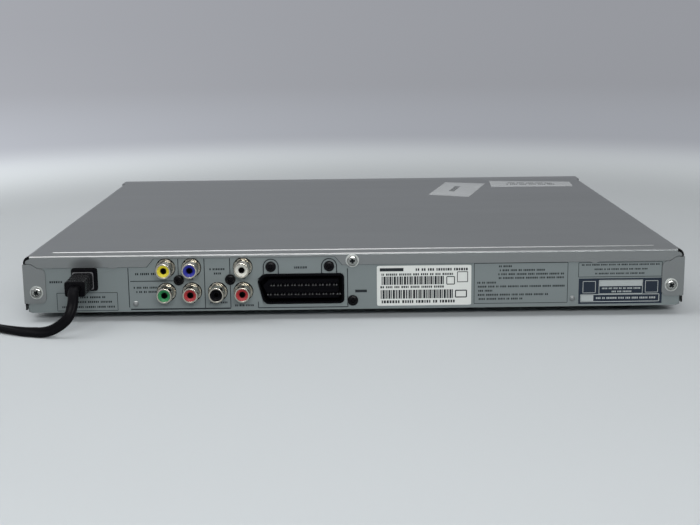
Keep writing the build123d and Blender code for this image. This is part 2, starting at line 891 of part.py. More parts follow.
# Screws with pan heads and a cross recess
def build_screw(x, z, seat_y, head_radius, head_height, shank_radius, length):
    """A pan-head screw whose head sits on seat_y and points to +Y."""
    shape = turned_back([
        (0, seat_y - length),
        (shank_radius, seat_y - length),
        (shank_radius, seat_y),
        (head_radius, seat_y),
        (head_radius, seat_y + head_height * 0.4),
        (head_radius * 0.8, seat_y + head_height * 0.85),
        (head_radius * 0.45, seat_y + head_height),
        (0, seat_y + head_height),
    ], x, z)
    reach = head_radius * 0.55
    top = (seat_y + head_height - recess_depth, seat_y + head_height + 1)
    half = recess_width / 2
    shape -= block((x - reach, x + reach), top, (z - half, z + half))
    return shape - block((x - half, x + half), top, (z - reach, z + reach))


cover_screw_places = tuple(
    (side * (half_width - cover_screw_inset), foot_height + cover_screw_z) for side in (-1, 1)
) + ((lip_screw_x, foot_height + lip_screw_z),)
save("cover_screws", *[
    build_screw(x, z, rear_y, cover_head_radius, cover_head_height, cover_shank_radius, cover_screw_length)
    for x, z in cover_screw_places
])
save("socket_screws", *[
    build_screw(x, z, panel_y, socket_head_radius, socket_head_height, socket_shank_radius, socket_screw_length)
    for x, z in socket_screw_places
])


# Phono jacks: nickel barrels with notched collars, coloured inserts and their housings
def build_barrel(x, z):
    """A turned barrel on its housing, with a collar that has four diagonal notches."""
    inner = barrel_radius - barrel_wall
    shape = turned_back([
        (inner, panel_in_y),
        (collar_radius, panel_in_y),
        (collar_radius, panel_y + collar_proud),
        (barrel_radius, panel_y + collar_proud),
        (barrel_radius, jack_tip_y),
        (inner, jack_tip_y),
    ], x, z)
    notch = Box(collar_radius - barrel_radius, collar_proud, collar_notch)
    reach = (barrel_radius + collar_radius) / 2 + insert_clearance
    for angle in (45, 135, 225, 315):
        shape -= Pos(x, panel_y + collar_proud, z) * Rot(0, angle, 0) * Pos(reach, 0, 0) * notch
    return shape


def build_insert(x, z):
    """A moulded insert with the hole for the plug's centre pin."""
    outer = barrel_radius - barrel_wall - insert_clearance
    tip = jack_tip_y - insert_recess
    return turned_back([
        (0, panel_in_y),
        (outer, panel_in_y),
        (outer, tip),
        (pin_hole_radius, tip),
        (pin_hole_radius, tip - pin_hole_depth),
        (0, tip - pin_hole_depth),
    ], x, z)


def build_housing(middle, screw):
    """A jack housing that stands on the main board behind the panel."""
    body = block((middle - housing_width / 2, middle + housing_width / 2),
                 (panel_in_y - housing_depth, panel_in_y), (main_board_top, jack_high + housing_head))
    pilot = (panel_y - socket_screw_length - sheet_gap, panel_in_y + 1)
    return body - rod_y(screw[0], pilot, screw[1], socket_shank_radius + insert_clearance)


save("rca_barrels", *[build_barrel(x, z) for x, z in jack_places])
for colour, places in jacks.items():
    save(f"rca_insert_{colour}", *[build_insert(x, z) for x, z in places])
save("jack_block_video", build_housing((column_a + column_b) / 2, block_screws[0]))
save("jack_block_audio", build_housing((column_c + column_d) / 2, block_screws[1]))


# Television socket: shell with screw ears, inner block with slots, contacts
contact_mid_z = scart_mid_z - contact_drop
contact_rows = (
    (upper_contacts, contact_mid_z + contact_row_pitch / 2),
    (lower_contacts, contact_mid_z - contact_row_pitch / 2),
)
contact_places = tuple(
    (scart_mid_x + (i - (count - 1) / 2) * contact_pitch, z) for count, z in contact_rows for i in range(count)
)
scart_y = (panel_y + scart_proud - scart_depth, panel_y + scart_proud)
scart_face_y = panel_y + scart_proud - scart_recess


def build_scart_shell():
    """Shell with two upper ears and one side ear behind the panel."""
    shell = along_y(scart_outline(0), scart_y)
    ear_y = (panel_in_y - ear_depth, panel_in_y)
    low_ear = foot_height + side_ear_z
    low_ear_z = (max(low_ear - side_ear_half, main_board_top), low_ear + side_ear_half)
    shell += block((side_ear_x - side_ear_half, scart_x + scart_wall), ear_y, low_ear_z)
    for x in ear_places:
        shell += along_y(arch_outline(x, ear_radius - ear_groove), ear_y)
        shell += block((x - ear_radius + ear_groove, x + ear_radius - ear_groove), ear_y,
                       (scart_high_z - scart_wall, scart_high_z + scart_wall))
    shell -= along_y(scart_outline(scart_wall), (scart_y[0] - 1, scart_y[1] + 1))
    for x, z in socket_screw_places[2:]:
        shell -= rod_y(x, (ear_y[0] - 1, ear_y[1] + 1), z, socket_shank_radius + insert_clearance)
    return shell


def build_scart_block():
    """Inner block with a base that fills the shell and a slot for each contact."""
    base = along_y(scart_outline(scart_wall + insert_clearance), (scart_y[0], scart_y[0] + scart_base_depth))
    body = base + along_y(scart_outline(scart_wall + scart_moat), (scart_y[0], scart_face_y))
    for x, z in contact_places:
        body -= block((x - slot_width / 2, x + slot_width / 2), (scart_face_y - slot_depth, scart_face_y + 1),
                      (z - slot_height / 2, z + slot_height / 2))
    return body


save("scart_shell", build_scart_shell())
save("scart_block", build_scart_block())
save("scart_contacts", *[
    block((x - contact_width / 2, x + contact_width / 2),
          (scart_face_y - slot_depth, scart_face_y - slot_depth + contact_length),
          (z - slot_height / 2, z - slot_height / 2 + contact_thickness))
    for x, z in contact_places
])


# Strain relief: a flange outside the panel, a neck through it, a lock behind it and a ribbed sleeve
def upright_block(x, z, width, height, y):
    """A box along Y about the axis (x, z)."""
    return block((x - width / 2, x + width / 2), y, (z - height / 2, z + height / 2))


def build_bushing():
    """Moulded strain relief of the mains lead."""
    z = foot_height + bushing_z
    flange = upright_block(bushing_x, z, bushing_width, bushing_height, (panel_y, panel_y + bushing_flange))
    flange = chamfer(flange.edges().filter_by(Axis.Y), bushing_round)
    neck_width = bushing_width - 2 * bushing_neck
    neck_height = bushing_height - 2 * bushing_neck
    body = flange + upright_block(bushing_x, z, neck_width, neck_height, (panel_in_y - bushing_lock, panel_y))
    lock_y = (panel_in_y - bushing_lock, panel_in_y)
    body += upright_block(bushing_x, z, bushing_width, neck_height - 2 * sheet_gap, lock_y)
    start = panel_y + bushing_flange
    body += upright_block(sleeve_x, sleeve_z, sleeve_end_width - 2 * rib_depth,
                          sleeve_end_height - 2 * rib_depth, (start, sleeve_tip_y))
    ribbed = sleeve_length - sleeve_end
    gap = (ribbed - rib_count * rib_thickness) / rib_count
    for i in range(rib_count + 1):
        share = i / rib_count
        low = start + i * (rib_thickness + gap)
        high = low + (rib_thickness if i < rib_count else sleeve_end)
        width = sleeve_width + share * (sleeve_end_width - sleeve_width)
        height = sleeve_height + share * (sleeve_end_height - sleeve_height)
        rib = upright_block(sleeve_x, sleeve_z, width, height, (low, high))
        body += chamfer(rib.edges().filter_by(Axis.Y), bushing_round)
    return body


save("mains_bushing", build_bushing())


# Boards and what stands on them
def build_main_parts():
    """Chips, capacitors and connectors of the main board, placed from its rear or front edge."""
    low_x, top = main_board_x[0], main_board_top
    front, rear = main_board_y
    parts = [
        block((low_x + x, low_x + x + width), (rear - back - depth, rear - back), (top, top + height))
        for x, back, width, depth, height in chips
    ]
    parts += [post(low_x + x, rear - back, (top, top + height), radius) for x, back, radius, height in main_cans]
    for middle in (loader_ribbon_x, board_ribbon_x):
        parts.append(block((middle - connector_length / 2, middle + connector_length / 2),
                           (front + ribbon_end, front + ribbon_end + connector_depth), (top, top + connector_height)))
    return parts


def build_power_parts():
    """Transformer, heat sink, mains filter, capacitors and the inlet connector of the power board."""
    low_x, top = power_board_x[0], power_board_top
    rear = power_board_y[1]
    core_x = (low_x + transformer_x, low_x + transformer_x + transformer_width)
    core_y = (rear - transformer_back - transformer_depth, rear - transformer_back)
    transformer = block(core_x, core_y, (top, top + transformer_rim))
    transformer += block((core_x[0] + transformer_rim, core_x[1] - transformer_rim), core_y,
                         (top, top + transformer_height))
    transformer += block(core_x, core_y, (top + transformer_height - transformer_rim, top + transformer_height))
    sink = block((low_x + sink_x, low_x + sink_x + sink_thickness), (core_y[0], core_y[0] + sink_length),
                 (top, top + sink_height))
    mains_filter = block((low_x + filter_x, low_x + filter_x + filter_width),
                         (rear - filter_back - filter_depth, rear - filter_back), (top, top + filter_height))
    inlet = block((sleeve_x - connector_length / 2, sleeve_x + connector_length / 2),
                  (rear - ribbon_end - connector_depth, rear - ribbon_end), (top, top + 2 * connector_height))
    parts = [transformer, sink, mains_filter, inlet]
    return parts + [
        post(low_x + x, rear - back, (top, top + height), radius) for x, back, radius, height in power_cans
    ]


def strip(points, width, thickness):
    """A flat ribbon along Y whose side view runs through the points (y, z)."""
    line = Polyline(*[(0, y, z) for y, z in points])
    face = make_face(line.edges() + Polyline(*[(0, y, z + thickness) for y, z in points]).edges() + [
        Line((0, points[0][0], points[0][1]), (0, points[0][0], points[0][1] + thickness)).edge(),
        Line((0, points[-1][0], points[-1][1]), (0, points[-1][0], points[-1][1] + thickness)).edge(),
    ])
    return extrude(face, amount=width / 2, dir=(1, 0, 0), both=True)


def build_wiring():
    """Ribbon from the loader to the main board, ribbon between the boards and the lead's two cores."""
    step = ribbon_end + 4.0
    loader_ribbon = Pos(loader_ribbon_x, 0, 0) * strip(
        [(frame_rear_y - ribbon_rest, deck_top), (frame_rear_y + ribbon_end / 2, deck_top),
         (frame_rear_y + step, main_board_top), (main_board_y[0] + ribbon_end, main_board_top)],
        loader_ribbon_width, ribbon_thickness)
    board_ribbon = Pos(board_ribbon_x, 0, 0) * strip(
        [(power_board_y[1] - ribbon_rest, power_board_top), (power_board_y[1] + ribbon_end, power_board_top),
         (main_board_y[0] - ribbon_end, main_board_top), (main_board_y[0] + ribbon_end, main_board_top)],
        board_ribbon_width, ribbon_thickness)
    middle_z = foot_height + bushing_z
    lock_y = panel_in_y - bushing_lock
    core_end = power_board_y[1] - ribbon_end
    cores = []
    for side in (-1, 1):
        x = bushing_x + side * core_gap
        points = [
            (x, lock_y, middle_z),
            (x, lock_y - core_bend, middle_z),
            (x, core_end + core_bend, power_board_top + connector_height),
            (x, core_end, power_board_top + connector_height),
        ]
        path = FilletPolyline(*points, radius=core_bend / 2)
        section = Plane(origin=points[0], z_dir=(0, -1, 0)) * RegularPolygon(core_radius, 6)
        cores.append(sweep(section, path=path))
    return [loader_ribbon, board_ribbon] + cores


save("main_board", block(main_board_x, main_board_y, (main_board_z, main_board_top)))
save("main_board_parts", *build_main_parts())
save("power_board", block(power_board_x, power_board_y, (power_board_z, power_board_top)))
save("power_board_parts", *build_power_parts())
save("inner_wiring", *build_wiring())


# Loader frame: deck, side walls with the tray's ledges and lips, gear posts and the traverse's bearings
tray_gear_at = (loader_x + tray_gear_x, gear_y)
gear_distance = (tray_large_teeth + pulley_teeth) * tray_module / 2
pulley_gear_at = (tray_gear_at[0] - gear_distance, gear_y)
motor_at = (loader_x + motor_x, gear_y)
traverse_y = (disc_y - traverse_front, disc_y + traverse_rear)
hinge_y = disc_y + hinge_back
hinge_x = (traverse_half + running_gap * 4, traverse_half + running_gap * 4 + hinge_boss_width)
cam_plate_y = (traverse_y[0] - cam_front - cam_gap - cam_plate, traverse_y[0] - cam_front - cam_gap)
window_y = (cam_plate_y[0] - cam_gap, hinge_y + hinge_ear_radius + 2.0)
cam_peg_y = cam_plate_y[0] - cam_flange_depth / 2
window_half = traverse_half + traverse_gap
rack_pitch_x = tray_gear_at[0] + tray_small_teeth * tray_module / 2


def build_frame():
    """Moulded loader frame."""
    deck = block((loader_x - frame_half, loader_x + frame_half), (frame_front_y, frame_rear_y),
                 (frame_deck_z, deck_top))
    deck -= block((loader_x - window_half, loader_x + window_half), window_y, (frame_deck_z - 1, deck_top + 1))
    cam_slot = (loader_x + cam_left - 1.0, loader_x + cam_right + cam_travel + 1.0)
    deck -= block(cam_slot, (window_y[0], cam_plate_y[1] + cam_gap), (frame_deck_z - 1, deck_top + 1))
    body = deck
    for side in (-1, 1):
        inner = loader_x + side * frame_in
        outer = loader_x + side * frame_half
        ledge = inner - side * ledge_depth
        length = (frame_front_y, frame_rear_y)
        body += block(sorted((inner, outer)), length, (frame_deck_z, bridge_z))
        body += block(sorted((ledge, inner)), length,
                      (tray_underside - rail_lift - ledge_thickness, tray_underside - rail_lift))
        body += block(sorted((ledge, inner)), length,
                      (tray_top + rail_lift, tray_top + rail_lift + lip_thickness))
        boss = sorted((loader_x + side * hinge_x[0], loader_x + side * hinge_x[1]))
        boss_y = (hinge_y - 5.0, hinge_y + 5.0)
        body += block(boss, boss_y, (frame_deck_z, hinge_z + 5.0))
        body -= rod_x((boss[0] - 1, boss[1] + 1), hinge_y, hinge_z, hinge_pin_radius + hinge_clearance)
    lip_span = (frame_front_y - 1, frame_rear_y + 1)
    body -= block((loader_x - frame_in, loader_x + frame_in), lip_span, (tray_underside - 0.1, tray_top + 0.1))
    body += post(*tray_gear_at, (deck_top - 1, small_gear_z[1] - 0.1), post_radius)
    body += post(*pulley_gear_at, (deck_top - 1, pulley_z[1]), post_radius)
    body += post(*tray_gear_at, (deck_top - 1, large_gear_z[0] - 0.2), post_radius + 1.5)
    body += post(*pulley_gear_at, (deck_top - 1, large_gear_z[0] - 0.2), post_radius + 1.5)
    hole = (frame_deck_z - 1, deck_top + 1)
    for x, y in loader_post_places:
        body -= post(x, y, hole, socket_shank_radius + shank_clearance)
    return body


save("loader_frame", build_frame())
save("loader_screws", *[
    post(x, y, (deck_top, deck_top + 1.6), socket_head_radius)
    + post(x, y, (frame_deck_z, deck_top), socket_shank_radius)
    for x, y in loader_post_places
])


# Disc tray with its recesses, open slot, rack, groove ribs and front plate
def build_tray():
    """Moulded disc tray."""
    body = block((loader_x - tray_half, loader_x + tray_half), (tray_front_y, tray_rear_y),
                 (tray_underside, tray_top))
    body -= post(loader_x, disc_y, (recess_z, tray_top + 1), disc_radius + recess_gap)
    body -= post(loader_x, disc_y, (recess_z - recess_small_depth, tray_top + 1), recess_small_radius)
    body -= block((loader_x - tray_half + 12, loader_x + tray_half - 12),
                  (disc_y + disc_radius + 6, tray_rear_y + 1), (recess_z, tray_top + 1))
    body -= post(loader_x, disc_y, (tray_underside - 1, tray_top + 1), slot_half)
    body -= block((loader_x - slot_half, loader_x + slot_half), (disc_y, tray_rear_y + 1),
                  (tray_underside - 1, tray_top + 1))
    rack_y = (gear_y - 8.0, min(gear_y + tray_travel + 9.0, tray_rear_y))
    body += rack(rack_pitch_x, rack_pitch_x + rack_back, rack_y,
                 (tray_underside - rack_depth, tray_underside + 0.2), tray_module, gear_y)
    lead = cam_travel / tray_travel
    for side in (-1, 1):
        middle = loader_x + cam_peg_x + side * (cam_pin_radius + groove_gap + groove_rib / 2)
        low_y, high_y = cam_peg_y - groove_reach, tray_rear_y
        low_x, high_x = middle - groove_reach * lead, middle + (high_y - cam_peg_y) * lead
        half = groove_rib / 2
        rib = outline_xy([
            (low_x - half, low_y), (low_x + half, low_y), (high_x + half, high_y), (high_x - half, high_y),
        ])
        body += along_z(rib, (tray_underside - groove_depth, tray_underside + sheet_gap))
    return body


def build_lid():
    """Front plate of the tray."""
    lid = block(lid_x, (front_y, tray_front_y), (lid_z, lid_z + lid_height))
    return fillet(lid.faces().sort_by(Axis.Y)[0].edges(), lid_gap)


save("disc_tray", build_tray())
save("tray_lid", build_lid())

# Clamp bridge over the tray with the puck that holds the disc down
bridge_top = bridge_z + bridge_thickness
cone_top = turntable_seat + cone_height
puck_z = cone_top + puck_gap
puck_seat_z = bridge_top + puck_seat_gap


def build_bridge():
    """Bridge plate on the frame's side walls."""
    plate = block((loader_x - frame_half, loader_x + frame_half),
                  (disc_y - bridge_half_length, disc_y + bridge_half_length), (bridge_z, bridge_top))
    return plate - post(loader_x, disc_y, (bridge_z - 1, bridge_top + 1), puck_radius + puck_hole_gap)


save("clamp_bridge", build_bridge())
save("clamp_puck", turned_up([
    (0, puck_z), (puck_radius - 1, puck_z), (puck_radius, puck_z + 1), (puck_radius, puck_seat_z),
    (puck_radius + puck_flange, puck_seat_z), (puck_radius + puck_flange, puck_seat_z + puck_flange_thickness),
    (0, puck_seat_z + puck_flange_thickness),
], loader_x, disc_y))

# Traverse: tilting carrier of the spindle, the guide rods, the sled and its drive
plate_top = traverse_z + traverse_plate
wall_top = traverse_z + traverse_height
sled_gear_radius = sled_small_teeth * sled_module / 2
rack_line_x = loader_x - sled_half - 3.0 - sled_module
sled_gear_at = (rack_line_x - sled_gear_radius, disc_y + sled_gear_back)
pinion_distance = (sled_large_teeth + sled_pinion_teeth) * sled_module / 2
sled_motor_at = (
    sled_gear_at[0] + pinion_shift,
    sled_gear_at[1] + math.sqrt(pinion_distance ** 2 - pinion_shift ** 2),
)
rod_y_range = (traverse_y[0] + 5.0, traverse_y[1] - traverse_wall - 1.0)
sled_window_y = (lens_y - sled_front - 0.8, traverse_y[1] - traverse_wall - 2.0)


def build_traverse():
    """Tilting frame with a rim, rod blocks, hinge stubs and the cam pin."""
    x = (loader_x - traverse_half, loader_x + traverse_half)
    body = block(x, traverse_y, (traverse_z, wall_top))
    inside = block((x[0] + traverse_wall, x[1] - traverse_wall),
                   (traverse_y[0] + traverse_wall, traverse_y[1] - traverse_wall), (plate_top, wall_top + 1))
    body -= inside
    body -= block((loader_x - sled_half - 4.4, loader_x + sled_half + 1.2), sled_window_y,
                  (traverse_z - 1, plate_top + 1))
    body -= post(loader_x, disc_y, (traverse_z - 1, plate_top + 1), spindle_radius - 2.0)
    body -= post(*sled_motor_at, (traverse_z - 1, plate_top + 1), sled_motor_radius + 0.1)
    for side in (-1, 1):
        rod_x_at = loader_x + side * rod_half
        for low, high in ((traverse_y[0] + traverse_wall - 0.5, rod_y_range[0] + 2.0),
                          (rod_y_range[1] - 2.0, traverse_y[1] - traverse_wall + 0.5)):
            body += block((rod_x_at - 3, rod_x_at + 3), (low, high), (traverse_z, rod_z + 2.4))
        ear_x = sorted((loader_x + side * (traverse_half - 5.0), loader_x + side * traverse_half))
        body += block(ear_x, (traverse_y[1] - 1, hinge_y), (hinge_z - hinge_ear_radius, hinge_z + 2.0))
        body += rod_x(ear_x, hinge_y, hinge_z, hinge_ear_radius)
        stub = sorted((loader_x + side * (traverse_half - 1.0), loader_x + side * (hinge_x[1])))
        body += rod_x(stub, hinge_y, hinge_z, hinge_pin_radius)
    for side in (-1, 1):
        body -= rod_y(loader_x + side * rod_half, rod_y_range, rod_z, rod_radius + running_gap / 2)
    body += rod_y(loader_x + cam_pin_x, (cam_plate_y[0] + 0.4, traverse_y[0] + 1), cam_pin_z, cam_pin_radius)
    body += post(*sled_gear_at, (plate_top - 0.5, sled_drive_z[1] + 0.3), post_radius - 0.5)
    return body


sled_y = (lens_y - sled_front, lens_y + sled_rear)


def build_sled():
    """Pickup sled on the two rods with its lens tower and the rack along one side."""
    body = block((loader_x - sled_half, loader_x + sled_half), sled_y, (sled_z, sled_top))
    body -= block((loader_x - rod_half + 4.5, loader_x + rod_half - 4.5), (lens_y + 7, sled_y[1] + 1),
                  (sled_top - 3.0, sled_top + 1))
    for side in (-1, 1):
        body -= rod_y(loader_x + side * rod_half, (sled_y[0] - 1, sled_y[1] + 1), rod_z, rod_radius + 2 * running_gap)
    body -= post(loader_x, disc_y, (sled_z - 1, sled_top + 1), spindle_radius + 1.5)
    tower = (lens_tower / 2, lens_height * 0.6)
    body += block((loader_x - tower[0], loader_x + tower[0]), (lens_y - tower[0], lens_y + tower[0]),
                  (sled_top - 1, sled_top + tower[1]))
    body -= post(loader_x, lens_y, (sled_top - 0.5, sled_top + tower[1] + 1), lens_radius + running_gap)
    arm_y = (sled_y[0], sled_gear_at[1] + 5.0)
    body += block((loader_x - sled_half, loader_x - sled_half + 2.0), arm_y, sled_rack_z)
    body += rack(rack_line_x, loader_x - sled_half + 0.5, arm_y, sled_rack_z, sled_module, sled_gear_at[1])
    return body


save("traverse_frame", build_traverse())
save("guide_rods", *[
    rod_y(loader_x + side * rod_half, rod_y_range, rod_z, rod_radius) for side in (-1, 1)
])
save("pickup_sled", build_sled())
save("pickup_lens", turned_up([
    (0, sled_top - 0.5), (lens_radius, sled_top - 0.5), (lens_radius, sled_top + lens_height * 0.6),
    (lens_radius * 0.8, sled_top + lens_height * 0.85), (lens_radius * 0.4, sled_top + lens_height),
    (0, sled_top + lens_height),
], loader_x, lens_y))

# Spindle: motor on the traverse's plate, turntable on its shaft
spindle_top = plate_top + spindle_height
turntable_low = turntable_seat - turntable_thickness
save("spindle_motor", turned_up([
    (shaft_radius + running_gap, plate_top), (spindle_radius, plate_top), (spindle_radius, spindle_top - 0.6),
    (spindle_radius - 0.6, spindle_top), (shaft_radius + running_gap, spindle_top),
], loader_x, disc_y))
save("turntable", turned_up([
    (0, plate_top + 1.0), (shaft_radius, plate_top + 1.0), (shaft_radius, spindle_top + 0.3),
    (hub_radius, spindle_top + 0.3), (hub_radius, turntable_low), (turntable_radius, turntable_low),
    (turntable_radius, turntable_seat), (cone_radius, turntable_seat), (cone_radius, turntable_seat + 1.1),
    (cone_radius - 1.2, cone_top), (0, cone_top),
], loader_x, disc_y))

# Tray drive: motor, belt, pulley gear, tray gear
belt_level = sum(pulley_z) / 2


def pulley_profile(radius, bore, z):
    """The section of a belt pulley with a flat groove between two rims."""
    groove = radius
    rim = radius + pulley_rim
    belt_half = belt_size / 2 + belt_clearance
    return [(bore, z[0]), (rim, z[0]), (rim, belt_level - belt_half), (groove, belt_level - belt_half),
            (groove, belt_level + belt_half), (rim, belt_level + belt_half), (rim, z[1]), (bore, z[1])]


def belt_loop(small, large):
    """A face inside a loop round the pulleys with the two radii."""
    distance = pulley_gear_at[0] - motor_at[0]
    tangent = math.acos((large - small) / distance)
    up = (math.cos(tangent), math.sin(tangent))
    y = gear_y
    far = (pulley_gear_at[0] + large, y)
    near = (motor_at[0] - small, y)
    top_large = (pulley_gear_at[0] - large * up[0], y + large * up[1])
    top_small = (motor_at[0] - small * up[0], y + small * up[1])
    low_large = (top_large[0], 2 * y - top_large[1])
    low_small = (top_small[0], 2 * y - top_small[1])
    return make_face([
        Line(top_small, top_large).edge(),
        ThreePointArc(top_large, far, low_large).edge(),
        Line(low_large, low_small).edge(),
        ThreePointArc(low_small, near, top_small).edge(),
    ])


bore = post_radius + running_gap
motor_can_z = (loading_motor_z - sheet_gap, loading_motor_z + loading_motor_height)
save("loading_motor",
     post(*motor_at, motor_can_z, loading_motor_radius)
     + post(*motor_at, (loading_motor_z, pulley_z[1]), shaft_radius))
save("motor_pulley", turned_up(pulley_profile(motor_pulley_radius, shaft_radius + running_gap, pulley_z), *motor_at))
belt_in = (motor_pulley_radius + belt_clearance, pulley_radius + belt_clearance)
save("drive_belt", along_z(
    belt_loop(belt_in[0] + belt_size, belt_in[1] + belt_size) - belt_loop(*belt_in),
    (belt_level - belt_size / 2, belt_level + belt_size / 2),
))
tray_first_tooth = 0.0
large_first_tooth = 0.0
pinion_first_tooth = meshing_angle(large_first_tooth, pulley_teeth, tray_large_teeth, 0.0)
save("pulley_gear",
     turned_up(pulley_profile(pulley_radius, bore, pulley_z), *pulley_gear_at)
     + (gear(*pulley_gear_at, large_gear_z, pulley_teeth, tray_module, pinion_first_tooth)
        - post(*pulley_gear_at, large_gear_z, bore))
     + (post(*pulley_gear_at, (large_gear_z[1] - 0.1, pulley_z[0] + 0.1), post_radius + 2.5)
        - post(*pulley_gear_at, pulley_z, bore) - post(*pulley_gear_at, large_gear_z, bore)
        - post(*pulley_gear_at, (large_gear_z[1] - 1, pulley_z[0] + 1), bore)))
save("tray_gear",
     gear(*tray_gear_at, small_gear_z, tray_small_teeth, tray_module, tray_first_tooth)
     + gear(*tray_gear_at, large_gear_z, tray_large_teeth, tray_module, large_first_tooth)
     + post(*tray_gear_at, (large_gear_z[0], small_gear_z[1]), post_radius + 3.0)
     - post(*tray_gear_at, (large_gear_z[0] - 1, small_gear_z[1] + 1), bore))

# Sled drive
sled_first_tooth = 0.0
gear_direction = math.degrees(math.atan2(sled_motor_at[1] - sled_gear_at[1], sled_motor_at[0] - sled_gear_at[0]))
sled_pinion_tooth = meshing_angle(sled_first_tooth, sled_pinion_teeth, sled_large_teeth, gear_direction + 180)
small_bore = post_radius - 0.5 + running_gap
save("sled_gear",
     gear(*sled_gear_at, sled_mesh_z, sled_small_teeth, sled_module, sled_first_tooth)
     + gear(*sled_gear_at, sled_drive_z, sled_large_teeth, sled_module, sled_first_tooth)
     + post(*sled_gear_at, (sled_mesh_z[0], sled_drive_z[1]), sled_gear_radius - sled_module * 1.5)
     - post(*sled_gear_at, (sled_mesh_z[0] - 1, sled_drive_z[1] + 1), small_bore))
save("sled_motor",
     post(*sled_motor_at, (sled_motor_z, sled_motor_z + sled_motor_height), sled_motor_radius)
     + post(*sled_motor_at, (sled_motor_z, sled_drive_z[1]), motor_shaft))
save("sled_pinion",
     gear(*sled_motor_at, sled_drive_z, sled_pinion_teeth, sled_module, sled_pinion_tooth)
     - post(*sled_motor_at, (sled_drive_z[0] - 1, sled_drive_z[1] + 1), motor_shaft + running_gap))


# Cam slider: an upright plate with a falling slot, a foot on the deck and a peg in the tray's groove
def build_cam():
    """Slider that lowers the traverse as the tray goes out."""
    body = block((loader_x + cam_left, loader_x + cam_right), cam_plate_y, (cam_low_z, cam_high_z))
    foot_z = (deck_top + running_gap * 4, deck_top + running_gap * 4 + cam_flange_thickness)
    foot_y = (cam_plate_y[0] - cam_flange_depth, cam_plate_y[1])
    body += block((loader_x + cam_left, loader_x + cam_right), foot_y, foot_z)
    peg = (loader_x + cam_peg_x, cam_peg_y)
    body += block((peg[0] - cam_peg_foot / 2, peg[0] + cam_peg_foot / 2), foot_y,
                  (foot_z[0], cam_high_z - cam_peg_step))
    body += post(*peg, (cam_high_z - cam_peg_step - sheet_gap, tray_underside - cam_peg_gap), cam_pin_radius)
    arm = hinge_y - (cam_plate_y[0] + cam_plate_y[1]) / 2
    drop = arm * math.sin(math.radians(tilt_degrees))
    start = (loader_x + cam_pin_x, cam_pin_z)
    end = (start[0] - cam_travel, start[1] - drop)
    width = cam_pin_radius + cam_slot_gap
    angle = math.atan2(drop, cam_travel)
    side = (width * math.sin(angle), width * math.cos(angle))
    through = (cam_plate_y[0] - 1, cam_plate_y[1] + 1)
    body -= along_y(outline_xz([
        (start[0] - side[0], start[1] + side[1]), (start[0] + side[0], start[1] - side[1]),
        (end[0] + side[0], end[1] - side[1]), (end[0] - side[0], end[1] + side[1]),
    ]), through)
    body -= rod_y(start[0], through, start[1], width)
    return body - rod_y(end[0], through, end[1], width)


save("cam_slider", build_cam())


# Mains lead: free tube, put-away coil, tail, wall plug and tie
def cord_path(points):
    """Straight runs joined by tangent arcs, each as large as its runs allow."""
    radii = []
    for i in range(1, len(points) - 1):
        before = Vector(*points[i]) - Vector(*points[i - 1])
        after = Vector(*points[i + 1]) - Vector(*points[i])
        turn = math.radians(before.get_angle(after))
        radii.append(0.45 * min(before.length, after.length) / math.tan(turn / 2))
    print("cord radii", [round(radius, 1) for radius in radii])
    return FilletPolyline(*points, radius=radii) if radii else Line(*points)


def build_tube(points, name):
    """A plain eight-sided tube along a route, with its volume compared with section times length."""
    path = cord_path(points)
    start = Vector(*points[0])
    section = Plane(origin=start, z_dir=Vector(*points[1]) - start) * RegularPolygon(cord_section / 2, 8)
    tube = sweep(section, path=path)
    print(name, "length", round(path.length, 1), "volume share", round(tube.volume / (section.area * path.length), 4))
    return tube


def biarc(start, start_way, end, end_way):
    """Two tangent arcs between two points with given directions."""
    chord = end - start
    total = start_way + end_way
    a = total.dot(total) - 4
    b = -2 * chord.dot(total)
    c = chord.dot(chord)
    reach = -c / b if abs(a) < 1e-9 else (-b - math.sqrt(b * b - 4 * a * c)) / (2 * a)
    middle = (start + start_way * reach + end - end_way * reach) * 0.5
    way = (end - end_way * reach - start - start_way * reach).normalized()
    return [TangentArc(start, middle, tangent=start_way).edge(), TangentArc(middle, end, tangent=way).edge()]


def coil_stations():
    """Points and directions at every half turn: in along the lower layer, up, out along the upper layer."""
    low = coil_lift + cord_height / 2
    levels = [low] * (coil_half_turns + 1) + [low + coil_layer_pitch] * coil_half_turns
    steps = list(range(coil_half_turns + 1)) + list(range(coil_half_turns, 0, -1))
    stations = []
    for i, (step, z) in enumerate(zip(steps, levels)):
        radius = coil_start_radius - step * coil_pitch / 2
        side = 1 if i % 2 == 0 else -1
        stations.append((Vector(coil_x, coil_y + side * radius, z), Vector(side, 0, 0)))
    radius = coil_start_radius - coil_pitch / 4
    stations.append((Vector(coil_x + radius, coil_y, stations[-1][0].Z), Vector(0, -1, 0)))
    return stations


def coil_wire():
    """The coil's centreline with a straight end at each side."""
    stations = coil_stations()
    first, last = stations[0], stations[-1]
    edges = [Line(first[0] - first[1] * cord_width, first[0]).edge()]
    for (start, start_way), (end, end_way) in zip(stations, stations[1:]):
        edges += biarc(start, start_way, end, end_way)
    edges.append(Line(last[0], last[0] + last[1] * cord_width).edge())
    return Wire(edges)


def coil_self_gap(wire):
    """The least distance between the surfaces of neighbouring turns, measured on points."""
    count = 900
    points = [wire.position_at(i / count) for i in range(count + 1)]
    spacing = wire.length / count
    skip = int(3 * cord_width / spacing) + 1
    flank = math.hypot(cord_width / 4, cord_height / 2)
    least = math.inf
    for i, p in enumerate(points):
        for q in points[i + skip:]:
            flat = math.hypot(p.X - q.X, p.Y - q.Y)
            rise = abs(p.Z - q.Z)
            slanted = (flat * cord_height / 2 + rise * cord_width / 4 - cord_width * cord_height / 2) / flank
            least = min(least, max(flat - cord_width, rise - cord_height, slanted))
    return least


